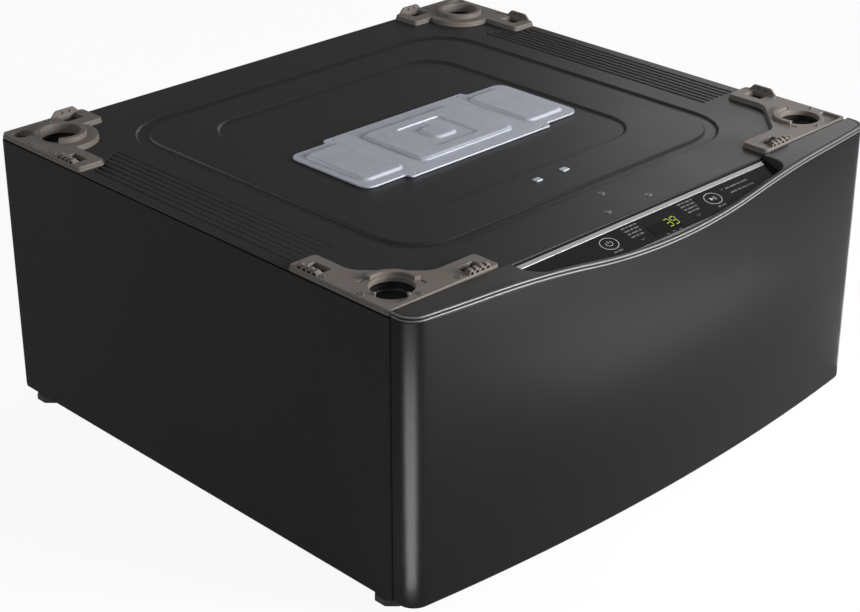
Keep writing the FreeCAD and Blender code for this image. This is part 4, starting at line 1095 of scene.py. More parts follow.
@dataclass
class StiffenerPlate:
    """Zinc-coated plate with a stepped outline, raised pads, a middle button and rivet holes."""

    levels: Levels
    step_half: float = 113.0 * MM
    step: float = 9.0 * MM
    thickness: float = 2.0 * MM
    corner: float = 14.0 * MM
    pad_rise: float = 3.2 * MM
    pad_corner: float = 9.0 * MM
    pad_half: float = 51.0 * MM
    end_pad: Point = (101.0 * MM, 160.0 * MM)
    centre_half: float = 73.0 * MM
    button_half: float = 17.0 * MM
    dish_half: float = 34.0 * MM
    dish_depth: float = 1.8 * MM
    rivet_spacing: float = 202.0 * MM
    rivet_inset: float = 4.5 * MM
    rivet_radius: float = 1.8 * MM
    soft: float = 2.0 * MM

    def build(self) -> None:
        """Make the plate."""
        low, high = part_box("stiffener_plate")
        x = high.x
        y0, y1 = low.y + self.step, high.y - self.step
        middle = (low.y + high.y) / 2
        s, c, r = self.step_half, self.corner, self.step / 2
        outline = rounded([
            (-x, y0, c), (-s, y0, r), (-s, low.y, r), (s, low.y, r), (s, y0, r), (x, y0, c),
            (x, y1, c), (s, y1, r), (s, high.y, r), (-s, high.y, r), (-s, y1, r), (-x, y1, c)])
        z0, z1 = low.z, low.z + self.thickness
        loops = [Loop(outline, EASED_EDGE)]
        for rivet_x in (-self.rivet_spacing / 2, 0.0, self.rivet_spacing / 2):
            for rivet_y in (low.y + self.rivet_inset, high.y - self.rivet_inset):
                loops.append(Loop(circle(rivet_x, rivet_y, self.rivet_radius, 16), FINE_EDGE))
        parts = [plate("base", loops, z0, z1)]
        pads = [(-self.end_pad[1], -self.end_pad[0]), (-self.centre_half, self.centre_half), self.end_pad]
        z2 = z1 + self.pad_rise
        d, b = self.dish_half, self.button_half
        dish = rounded_box(-d, d, middle - d, middle + d, self.pad_corner / 2)
        for x0, x1 in pads:
            pad = rounded_box(x0, x1, middle - self.pad_half, middle + self.pad_half, self.pad_corner)
            loops = [Loop(pad, self.soft, Edge.SOFT)]
            bed = z1 - OVERLAP / 2
            if x0 < 0 < x1:
                bed = z2 - self.dish_depth
                parts.append(plate("pad_base", [Loop(moved_left(pad, -self.soft), 0)], z1 - OVERLAP / 2, bed))
                loops.append(Loop(dish, 0.7 * MM, Edge.SOFT))
            parts.append(plate("pad", loops, bed, z2))
        button = rounded_box(-b, b, middle - b, middle + b, self.pad_corner)
        parts.append(plate("button", [Loop(button, self.soft, Edge.SOFT)], z2 - self.dish_depth, high.z - 0.4 * MM))
        hand_over(joined("zinc_plate", parts), Finishes.ZINC, Body.CABINET, "zinc", "stiffener_plate")


class Corner(Enum):
    """The four corner brackets: is it on the right, is it at the rear."""

    FRONT_LEFT = (False, False)
    FRONT_RIGHT = (True, False)
    REAR_LEFT = (False, True)
    REAR_RIGHT = (True, True)

    @property
    def node(self) -> str:
        """The CAD node's name."""
        return self.name.lower() + "_bracket"

    @property
    def rear(self) -> bool:
        """Is it at the rear?"""
        return self.value[1]


class Tab(Enum):
    """What stands beside the window of a bracket's arm."""

    LOUVRE = "louvre"
    UPRIGHT = "upright"


@dataclass
class Brackets:
    """Four moulded corner brackets, drawn from the machine's outer corner; spans are in degrees."""

    levels: Levels
    thickness: float = 6.0 * MM
    step_in: float = 0.7 * MM
    front_arm: float = 152.0 * MM
    side_arm: float = 147.0 * MM
    arm_wide: float = 37.0 * MM
    throat: float = 93.0 * MM
    throat_radius: float = 25.0 * MM
    corner: float = 5.0 * MM
    front_pocket: Point = (40.0 * MM, 38.0 * MM)
    pocket_radius: float = 23.0 * MM
    keyhole_offset: float = 15.0 * MM
    keyhole_radius: float = 16.0 * MM
    keyhole_depth: float = 3.5 * MM
    rear_arm: float = 114.0 * MM
    rear_arm_wide: float = 42.0 * MM
    rear_side_arm: float = 151.0 * MM
    rear_pocket: Point = (45.0 * MM, 55.0 * MM)
    lobe_radius: float = 43.0 * MM
    ring_wall: float = 6.5 * MM
    ring_height: float = 6.0 * MM
    ring_edge: float = 0.9 * MM
    ring_span: Point = (-142.0, 130.0)
    rib_span: Point = (-16.0, 106.0)
    rib_height: float = 4.0 * MM
    rib_setback: float = 2.0 * MM
    post_radius: float = 1.9 * MM
    sink_rim: float = 4.5 * MM
    sink_wall: float = 5.5 * MM
    sink_span: Point = (253.0, 197.0)
    sink_corner: Point = (4.0 * MM, 2.0 * MM)
    hole_radius: float = 9.0 * MM
    hole_inset: Point = (14.0 * MM, 21.0 * MM)
    hole_dish: Point = (12.0 * MM, 10.0 * MM)
    dish_shift: float = 2.0 * MM
    window: Point = (24.0 * MM, 19.5 * MM)
    window_end: float = 15.0 * MM
    window_inset: float = 4.5 * MM
    window_corner: float = 1.2 * MM
    tab_length: float = 30.0 * MM
    tab_past: float = 3.0 * MM
    tab_edge: float = 1.5 * MM
    tab_thick: float = 2.5 * MM
    tab_rise: float = 7.0 * MM
    tab_hole: float = 1.8 * MM
    tab_back: float = 0.9 * MM
    louvre_wide: float = 10.0 * MM
    louvre_rise: float = 6.0 * MM
    finger_count: int = 4
    finger_share: float = 0.55
    tab_slope: float = 5.0 * MM
    notch: Point = (2.6 * MM, 9.0 * MM)
    notch_reach: float = 5.0 * MM
    notch_corner: float = 1.0 * MM
    edge: float = 0.8 * MM

    def warp(self, corner: Corner, swap: bool = False) -> Warp:
        """How a point drawn from the outer corner goes to its place.

        Args:
            corner: Which bracket.
            swap: True exchanges the two arms.

        Returns:
            The function for the points.
        """
        right, rear = corner.value
        at = self.levels

        def put(a: float, b: float, z: float) -> Vector:
            """Place one point."""
            if swap:
                a, b = b, a
            return Vector((at.half - a if right else a - at.half, at.back - b if rear else at.front + b,
                           at.top + z))
        return put

    def outline(self, corner: Corner, inset: float) -> list[Point]:
        """The plate's outline, drawn in by an inset on its outer sides.

        Args:
            corner: Which bracket.
            inset: The inset.

        Returns:
            The outline.
        """
        if corner.rear:
            return self.rear_outline(inset)
        c, w, t = self.corner, self.arm_wide - inset, self.throat_radius
        front, side = self.front_arm - inset, self.side_arm - inset
        return rounded([(inset, inset, c), (front, inset, c), (front, w, c), (self.throat, w, t), (w, self.throat, t),
                        (w, side, c), (inset, side, c)])

    def rear_outline(self, inset: float) -> list[Point]:
        """The rear plates' outline: two arms with a round lobe in their angle.

        Args:
            inset: How far it is drawn in.

        Returns:
            The outline.
        """
        c, radius = self.corner, self.lobe_radius - inset
        px, py = self.rear_pocket
        aw, w = self.rear_arm_wide - inset, self.arm_wide - inset
        arm, side = self.rear_arm - inset, self.rear_side_arm - inset
        lobe = arc(px, py, radius, math.asin((aw - py) / radius), math.acos((w - px) / radius), 24)
        return rounded([(inset, inset, c), (arm, inset, c), (arm, aw, c), *[(x, y, 0) for x, y in lobe], (w, side, c),
                        (inset, side, c)])

    def pocket(self, corner: Corner) -> Point:
        """The foot pocket's centre."""
        return self.rear_pocket if corner.rear else self.front_pocket

    def keyhole_angles(self) -> tuple[float, float]:
        """Half the angle of the run-out's mouth, seen from the pocket's and from its own centre.

        Returns:
            The two angles in radians.
        """
        gap = self.keyhole_offset * math.sqrt(2)
        reach = (gap ** 2 + self.pocket_radius ** 2 - self.keyhole_radius ** 2) / (2 * gap)
        return math.acos(reach / self.pocket_radius), math.acos((gap - reach) / self.keyhole_radius)

    def keyhole(self) -> list[Point]:
        """Outline of the pocket together with its run-out towards the corner.

        Returns:
            The outline.
        """
        px, py = self.front_pocket
        spread, small = self.keyhole_angles()
        towards = TO_CORNER
        large = arc(px, py, self.pocket_radius, towards + spread, towards + 2 * math.pi - spread, 32)
        shift = self.keyhole_offset
        run_out = arc(px - shift, py - shift, self.keyhole_radius, towards + math.pi + small,
                      towards + 3 * math.pi - small, 20)
        return large[:-1] + run_out[:-1]

    def windows(self, corner: Corner) -> list[list[Point]]:
        """Outlines of the windows near both arms' ends.

        Args:
            corner: Which bracket.

        Returns:
            The two outlines.
        """
        front, side = self.arms(corner)
        long, wide = self.window
        i, c = self.window_inset, self.window_corner
        a1, b1 = front - self.window_end, side - self.window_end
        return [rounded_box(a1 - long, a1, i, i + wide, c), rounded_box(i, i + wide, b1 - long, b1, c)]

    def arms(self, corner: Corner) -> Point:
        """Lengths of the arm along the front or rear and of the arm along the side."""
        return (self.rear_arm, self.rear_side_arm) if corner.rear else (self.front_arm, self.side_arm)

    def tab(self, kind: Tab, end: float, warp: Warp) -> list[Piece]:
        """The tab beside a window: a row of fingers before a low wall, or an upright plate with two holes.

        Args:
            kind: Which tab.
            end: The arm's length.
            warp: Where the arm is.

        Returns:
            Its pieces.
        """
        a1 = end - self.window_end + self.tab_past
        a0 = a1 - self.tab_length
        e, top = self.tab_edge, self.thickness
        if kind is Tab.LOUVRE:
            rise, foot = self.louvre_rise, -2.0 * MM
            far, middle = e + self.louvre_wide, e + self.louvre_wide / 2
            profile = rounded([(e, foot, 0), (far, foot, 0), (far, 0.6 * MM, 0.8 * MM), (middle, rise, 1.6 * MM),
                               (e, rise * 0.8, 1.0 * MM)])
            pitch = self.tab_length / self.finger_count
            pieces = [plate("wall", [Loop(rounded_box(a0, a1, e, e + 2.0 * MM, 0.9 * MM), EASED_EDGE)], foot + top,
                            top + rise / 2, warp)]
            for i in range(self.finger_count):
                start = a0 + pitch * (i + (1 - self.finger_share) / 2)
                pieces.append(plate("finger", [Loop(profile, CRISP_EDGE)], start, start + pitch * self.finger_share,
                                    lambda b, h, a: warp(a, b, top + h)))
            return pieces
        rise, hole, slope = self.tab_rise, self.tab_hole, self.tab_slope
        outline = Loop(rounded([(a0 - slope, -0.5 * MM, 0), (a1 + slope, -0.5 * MM, 0), (a1 - slope / 2, rise, slope),
                                (a0 + slope / 2, rise, slope)]), CRISP_EDGE)
        holes = [Loop(circle(a, rise / 2, hole, 20), SHEET_EDGE)
                 for a in (a0 + self.tab_length / 3, a1 - self.tab_length / 3)]

        def stand(a: float, h: float, t: float) -> Vector:
            """Stand the plate up along the arm's outer edge."""
            return warp(a, e + t, top + h)
        return [plate("upright", [outline, *holes], self.tab_back, self.tab_thick, stand),
                plate("back", [Loop(outline.points, 0)], 0, self.tab_back, stand)]

    def pocket_form(self, corner: Corner, warp: Warp) -> list[Piece]:
        """What stands round a foot pocket.

        Args:
            corner: Which bracket.
            warp: Where the bracket is.

        Returns:
            The rib or ring.
        """
        px, py = self.pocket(corner)
        inner = self.pocket_radius if corner.rear else self.pocket_radius + self.rib_setback
        outer = inner + self.ring_wall
        top, rise = self.thickness, self.ring_height if corner.rear else self.rib_height
        if corner is Corner.REAR_RIGHT:
            loops = [Loop(circle(px, py, radius, 64), self.ring_edge) for radius in (outer, inner)]
        else:
            start, end = (math.radians(turn) for turn in (self.ring_span if corner.rear else self.rib_span))
            rim = arc(px, py, outer, start, end, 40) + arc(px, py, inner, end, start, 40)
            loops = [Loop(rim, self.ring_edge)]
        pieces = [plate("ring", loops, top - OVERLAP, top + rise, warp)]
        if corner is Corner.FRONT_LEFT:
            reach, spread = self.pocket_radius + self.post_radius, self.keyhole_angles()[0]
            for turn in (TO_CORNER - spread, TO_CORNER + spread):
                post = circle(px + reach * math.cos(turn), py + reach * math.sin(turn), self.post_radius, 16)
                pieces.append(plate("post", [Loop(post, EASED_EDGE)], top - OVERLAP, top + rise / 2, warp))
        return pieces

    def sink(self) -> list[Point]:
        """Outline of the sunk corner beside a foot pocket.

        Returns:
            The outline.
        """
        px, py = self.front_pocket
        rim, (outer, inner) = self.sink_rim, self.sink_corner
        start, end = (math.radians(turn) for turn in self.sink_span)
        edge = arc(px, py, self.pocket_radius + self.sink_wall, start, end, 12)
        return rounded([(rim, rim, outer), (edge[0][0], rim, inner), *[(x, y, 0) for x, y in edge],
                        (rim, edge[-1][1], inner)])

    def bracket(self, corner: Corner, tabs: tuple[Tab, Tab]) -> None:
        """Make one bracket.

        Args:
            corner: Which one.
            tabs: The tabs of its two arms.
        """
        warp = self.warp(corner)
        px, py = self.pocket(corner)
        holes = [Loop(points, self.edge) for points in self.windows(corner)]
        pocket = Loop(circle(px, py, self.pocket_radius, 64), self.edge)
        upper = [Loop(self.outline(corner, self.step_in), self.edge), *holes]
        if corner.rear:
            (a, b), (u, v) = self.hole_inset, self.hole_dish
            middle = a + self.dish_shift
            upper.append(Loop(rounded_box(middle - u, middle + u, b - v, b + v, v * 0.98), self.edge))
            holes.append(Loop(circle(a, b, self.hole_radius), self.edge))
        upper.append(Loop(self.keyhole(), self.edge) if corner is Corner.FRONT_LEFT else pocket)
        if corner is Corner.FRONT_RIGHT:
            upper.append(Loop(self.sink(), self.edge))
        if not corner.rear:
            n, m = self.notch
            reach, c = self.pocket_radius + self.notch_reach, self.notch_corner
            upper.append(Loop(rounded_box(px + reach, px + reach + n, py - 2 * m, py - m, c), FINE_EDGE))
            upper.append(Loop(rounded_box(px - 2 * m, px - m, py + reach, py + reach + n, c), FINE_EDGE))
        split = self.thickness - self.keyhole_depth
        lower = [Loop(self.outline(corner, 0), CRISP_EDGE), *[Loop(h.points, 0) for h in holes],
                 Loop(pocket.points, 0)]
        parts = [plate("lower", lower, 0, split, warp), plate("upper", upper, split, self.thickness, warp)]
        front, side = self.arms(corner)
        parts += self.tab(tabs[0], front, warp)
        parts += self.tab(tabs[1], side, self.warp(corner, True))
        parts += self.pocket_form(corner, warp)
        hand_over(joined(corner.node.replace("_bracket", "_mount"), parts), Finishes.BRACKET, Body.CABINET,
                  "bracket_grey", corner.node)

    def build(self) -> None:
        """Make all four."""
        self.bracket(Corner.FRONT_LEFT, (Tab.LOUVRE, Tab.LOUVRE))
        self.bracket(Corner.FRONT_RIGHT, (Tab.LOUVRE, Tab.UPRIGHT))
        self.bracket(Corner.REAR_LEFT, (Tab.UPRIGHT, Tab.LOUVRE))
        self.bracket(Corner.REAR_RIGHT, (Tab.UPRIGHT, Tab.UPRIGHT))


@dataclass
class TopScrews:
    """Domed screws with washers on the brackets and on the top sheet."""

    brackets: Brackets
    head_radius: float = 3.1 * MM
    head_height: float = 1.4 * MM
    washer_radius: float = 4.0 * MM
    washer_height: float = 0.5 * MM
    recess_long: float = 4.0 * MM
    recess_wide: float = 1.2 * MM
    edge: float = 7.4 * MM
    front_offset: float = 8.0 * MM
    rear_offset: float = 16.0 * MM
    rear_reach: float = 39.0 * MM
    sheet_spots: tuple[Point, ...] = ((-33.0 * MM, 19.0 * MM), (33.0 * MM, 19.0 * MM), (0.0, 57.0 * MM))

    def spots(self) -> list[Vector]:
        """Where each screw's washer rests.

        Returns:
            The places, brackets first.
        """
        b = self.brackets
        found = []
        (px, py), (rx, ry) = b.front_pocket, b.rear_pocket
        front = []
        for along_x, along_y in ((px, py), (b.throat, b.throat)):
            front += [(along_x + self.front_offset, self.edge), (self.edge, along_y + self.front_offset)]
        rear = [(rx + self.rear_offset, self.edge), (self.edge, ry), (self.edge, ry + self.rear_reach)]
        for corner in Corner:
            put = b.warp(corner)
            found += [put(x, y, b.thickness) for x, y in (rear if corner.rear else front)]
        at = b.levels
        found += [Vector((x, at.front + y, at.top)) for x, y in self.sheet_spots]
        return found

    def build(self) -> None:
        """Make all screws in one piece."""
        tree = ShapeGraph("screw_heads", {
            "Head Radius": self.head_radius, "Head Height": self.head_height,
            "Washer Radius": self.washer_radius, "Washer Height": self.washer_height,
            "Recess Long": self.recess_long, "Recess Wide": self.recess_wide})
        ball = tree.val("GeometryNodeMeshUVSphere", {"Segments": 20, "Rings": 10, "Radius": tree.size("Head Radius")})
        flat = tree.vector(1.0, 1.0, tree.size("Head Height") / tree.size("Head Radius"))
        head = tree.val("GeometryNodeTransform", {"Geometry": ball, "Scale": flat})
        for long_axis in (0, 1):
            sides = [tree.size("Recess Wide"), tree.size("Recess Wide"), tree.size("Head Height")]
            sides[long_axis] = tree.size("Recess Long")
            bar = tree.val("GeometryNodeMeshCube", {"Size": tree.vector(*sides)})
            cut = tree.val("GeometryNodeTransform", {
                "Geometry": bar, "Translation": tree.vector(0.0, 0.0, tree.size("Head Height"))})
            head = tree.val("GeometryNodeMeshBoolean", {"Mesh 1": head, "Mesh 2": cut}, operation="DIFFERENCE")
        washer = tree.val("GeometryNodeMeshCylinder", {
            "Vertices": 24, "Radius": tree.size("Washer Radius"), "Depth": tree.size("Washer Height") * 2.0})
        both = tree.node("GeometryNodeJoinGeometry")
        for part in (head, washer):
            tree.put(both.inputs[0], part)
        placed = tree.val("GeometryNodeInstanceOnPoints", {"Points": tree.geometry(), "Instance": both.outputs[0]})
        screws = tree.run("screw_heads", point_cloud(self.spots()), placed, Finishes.DULL_SCREW)
        hand_over(screws, Finishes.DULL_SCREW, Body.CABINET, "zinc", "top_screws")


@dataclass
class CabinetSheets:
    """Folded side sheets and the rear sheet."""

    levels: Levels
    sheet: float = 1.2 * MM
    flange: float = 18.0 * MM
    bend: float = 2.6 * MM
    vent_half: float = 45.0 * MM
    vent_wide: float = 5.0 * MM
    vent_pitch: float = 14.0 * MM
    vent_count: int = 8
    vent_drop: float = 86.0 * MM
    port_gap: float = 2.3 * MM
    port_drop: float = 20.0 * MM
    bead_side: float = 40.0 * MM
    bead_wide: float = 9.0 * MM
    bead_rise: float = 2.0 * MM
    bead_soft: float = 1.8 * MM
    ports: tuple[tuple[str, tuple[float, ...]], ...] = (
        ("inlet_valves", (-30.0 * MM, 30.0 * MM)), ("drain_spigot", (0.0,)), ("cord_gland", (0.0,)))
    port_radii: tuple[float, ...] = (13.3 * MM, 11.0 * MM, 9.0 * MM)

    def side(self, name: str, node: str, sign: int) -> None:
        """Make one side sheet with rounded bends.

        Args:
            name: The piece's name.
            node: The CAD node that it stands for.
            sign: 1 for the right side, -1 for the left.
        """
        at = self.levels
        low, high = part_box(node)
        s, f, r = self.sheet, self.flange, self.bend
        x0, x1 = at.half, at.half - f
        y0, y1 = low.y, high.y - s
        outline = rounded([(x1, y0, 0), (x0, y0, r), (x0, y1, r), (x1, y1, 0), (x1, y1 - s, 0),
                           (x0 - s, y1 - s, r - s), (x0 - s, y0 + s, r - s), (x1, y0 + s, 0)])
        wall = plate("wall", [Loop([(sign * x, y) for x, y in outline], SHEET_EDGE)], low.z, high.z)
        top = rounded([(x1, y0, 0), (x0, y0, r), (x0, y1, r), (x1, y1, 0)])
        flange = plate("flange", [Loop([(sign * x, y) for x, y in top], SHEET_EDGE)], high.z - s, high.z)
        hand_over(joined(name, [wall, flange]), Finishes.SIDE, Body.CABINET, "cabinet_black", node)

    def rear(self) -> None:
        """Make the rear sheet with vents, port holes and two pressed beads."""
        at = self.levels
        low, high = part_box("rear_panel")
        loops = [Loop(rounded_box(low.x, high.x, low.z, high.z, 2.0 * MM), FINE_EDGE)]
        first = at.top - self.vent_drop
        for i in range(self.vent_count):
            z = first - i * self.vent_pitch
            slot = rounded_box(-self.vent_half, self.vent_half, z, z + self.vent_wide, self.vent_wide / 2.05)
            loops.append(Loop(slot, FINE_EDGE))
        for (node, offsets), radius in zip(self.ports, self.port_radii):
            port_low, port_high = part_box(node)
            middle = (port_low.x + port_high.x) / 2
            z = port_high.z - self.port_drop
            for offset in offsets:
                loops.append(Loop(circle(middle + offset, z, radius + self.port_gap, 40), FINE_EDGE))
        parts = [plate("sheet", loops, 0, high.y - low.y, lambda x, z, t: Vector((x, low.y + t, z)))]
        for side in (-1, 1):
            middle = side * (at.half - self.bead_side)
            outline = rounded_box(middle - self.bead_wide / 2, middle + self.bead_wide / 2,
                                  low.z + self.bead_side, high.z - self.bead_side, self.bead_wide / 2.05)
            parts.append(plate("bead", [Loop(outline, self.bead_soft, Edge.SOFT)], 0, self.bead_rise,
                               lambda x, z, t: Vector((x, high.y + t - OVERLAP / 2, z))))
        hand_over(joined("rear_sheet", parts), Finishes.REAR, Body.CABINET, "galvanized", "rear_panel")

    def build(self) -> None:
        """Make the three sheets."""
        self.side("left_sheet", "left_side_panel", -1)
        self.side("right_sheet", "right_side_panel", 1)
        self.rear()
        dress_node("base_frame", Finishes.FRAME)
        dress_node("front_cross_member", Finishes.FRAME)


@dataclass
class RearPorts:
    """Threaded water inlets, barbed drain tail and cord gland, each with its block behind the rear panel."""

    sheets: CabinetSheets
    block_deep: float = 36.0 * MM
    block_half: float = 20.0 * MM
    collar: float = 2.0 * MM
    flange: float = 2.4 * MM
    root: float = 1.1 * MM
    pitch: float = 2.4 * MM
    barb: float = 1.8 * MM
    barb_pitch: float = 4.2 * MM
    wall: float = 3.4 * MM
    bore_deep: float = 14.0 * MM
    nut_long: float = 9.0 * MM
    stub_radii: tuple[float, ...] = (8.0 * MM, 10.0 * MM, 5.0 * MM)

    def foot(self, radius: float) -> list[Point]:
        """A port's start: inside the block, through the sheet and its flange.

        Args:
            radius: The port's radius.

        Returns:
            Radius and y of each point.
        """
        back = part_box("rear_panel")[1].y
        wide = radius + self.collar
        return [(0.0, back - self.flange), (wide, back - self.flange), (wide, back + self.flange * 0.7),
                (wide - self.flange * 0.3, back + self.flange)]

    def mouth(self, radius: float, end: float) -> list[Point]:
        """A port's end with its bore."""
        bore = radius - self.wall
        return [(radius - self.root, end - self.root), (radius - 2 * self.root, end), (bore, end),
                (bore, end - self.bore_deep), (0.0, end - self.bore_deep)]

    def threaded(self, radius: float, end: float) -> list[Point]:
        """Profile of a water inlet.

        Args:
            radius: Its outer radius.
            end: The y of its mouth.

        Returns:
            Radius and y of each point.
        """
        course = self.foot(radius)
        y, p = course[-1][1], self.pitch
        while y + p < end - self.root:
            course += [(radius - self.root, y + 0.2 * p), (radius, y + 0.45 * p), (radius, y + 0.55 * p),
                       (radius - self.root, y + 0.8 * p)]
            y += p
        return course + self.mouth(radius, end)

    def barbed(self, radius: float, end: float) -> list[Point]:
        """Profile of the drain's hose tail.

        Args:
            radius: Its outer radius.
            end: The y of its mouth.

        Returns:
            Radius and y of each point.
        """
        course = self.foot(radius)
        y = course[-1][1] + self.root
        course.append((radius - self.barb, y - self.root))
        while y + self.barb_pitch < end - self.root:
            course += [(radius - self.barb, y), (radius, y + 0.15 * self.barb_pitch),
                       (radius - self.barb, y + 0.95 * self.barb_pitch)]
            y += self.barb_pitch
        return course + self.mouth(radius - self.root / 2, end)

    def nose(self, radius: float, end: float) -> list[Point]:
        """Profile of the gland's ringed nose.

        Args:
            radius: The nut's radius.
            end: The y of its mouth.

        Returns:
            Radius and y of each point.
        """
        course = self.foot(radius)
        y = course[-1][1] + self.nut_long
        course += [(radius * 0.6, course[-1][1]), (radius * 0.6, y - self.root)]
        for share in (0.92, 0.86, 0.8):
            ring = radius * share
            course += [(ring, y), (ring, y + 0.6 * self.pitch), (ring - self.root / 2, y + 0.7 * self.pitch)]
            y += self.pitch
        return course + self.mouth(radius * 0.8, end)

    def turned_back(self, profile: Sequence[Point], x: float, z: float, steps: int = 40) -> Piece:
        """Turn a profile about a line that points to the rear.

        Args:
            profile: Radius and y of each point.
            x: The line's x.
            z: The line's height.
            steps: Steps round the line.

        Returns:
            The object.
        """
        piece = turned("port", profile, Vector(), steps)
        piece.data.transform(Matrix.Translation((x, 0, z)) @ Matrix.Rotation(-math.pi / 2, 4, "X"))
        return piece

    def block(self, node: str, stub: float) -> list[Piece]:
        """The block behind the panel and the stub that its hose or wires start from.

        Args:
            node: The fitting's CAD node.
            stub: The stub's radius.

        Returns:
            Block and stub.
        """
        low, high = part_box(node)
        y1 = low.y + self.block_deep
        z0 = high.z - 2 * self.block_half
        body = plate("block", [Loop(rounded_box(low.x, high.x, low.y, y1, 4.0 * MM), 1.2 * MM)], z0, high.z)
        middle = Vector(((low.x + high.x) / 2, (low.y + y1) / 2, 0))
        neck = turned("stub", [(0.0, low.z), (stub - self.root, low.z), (stub, low.z + self.root),
                               (stub, low.z + 3 * self.root), (stub - self.root, low.z + 4 * self.root),
                               (stub - self.root, z0 + self.root), (0.0, z0 + self.root)], middle, 32)
        return [body, neck]

    def build(self) -> None:
        """Make the three fittings."""
        kinds = ((self.threaded, Finishes.VALVE, "valve_white"), (self.barbed, Finishes.CASE, "cover_grey"),
                 (self.nose, Finishes.CASE, "cover_grey"))
        rows = zip(self.sheets.ports, self.sheets.port_radii, self.stub_radii, kinds)
        for (node, offsets), radius, stub, (profile, finish, slot) in rows:
            low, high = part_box(node)
            z = high.z - self.block_half
            parts = self.block(node, stub)
            for offset in offsets:
                x = (low.x + high.x) / 2 + offset
                parts.append(self.turned_back(profile(radius, high.y), x, z))
                if node == "cord_gland":
                    start = self.foot(radius)[-1][1]
                    nut = [(0.0, start), (radius, start), (radius, start + self.nut_long - self.root),
                           (radius - self.root, start + self.nut_long), (0.0, start + self.nut_long)]
                    parts.append(self.turned_back(nut, x, z, 6))
            hand_over(joined(node + "_port", parts), finish, Body.CABINET, slot, node)


class From(Enum):
    """The line from which a height on the drawer front is measured."""

    BOTTOM = "bottom"
    TOP = "top"


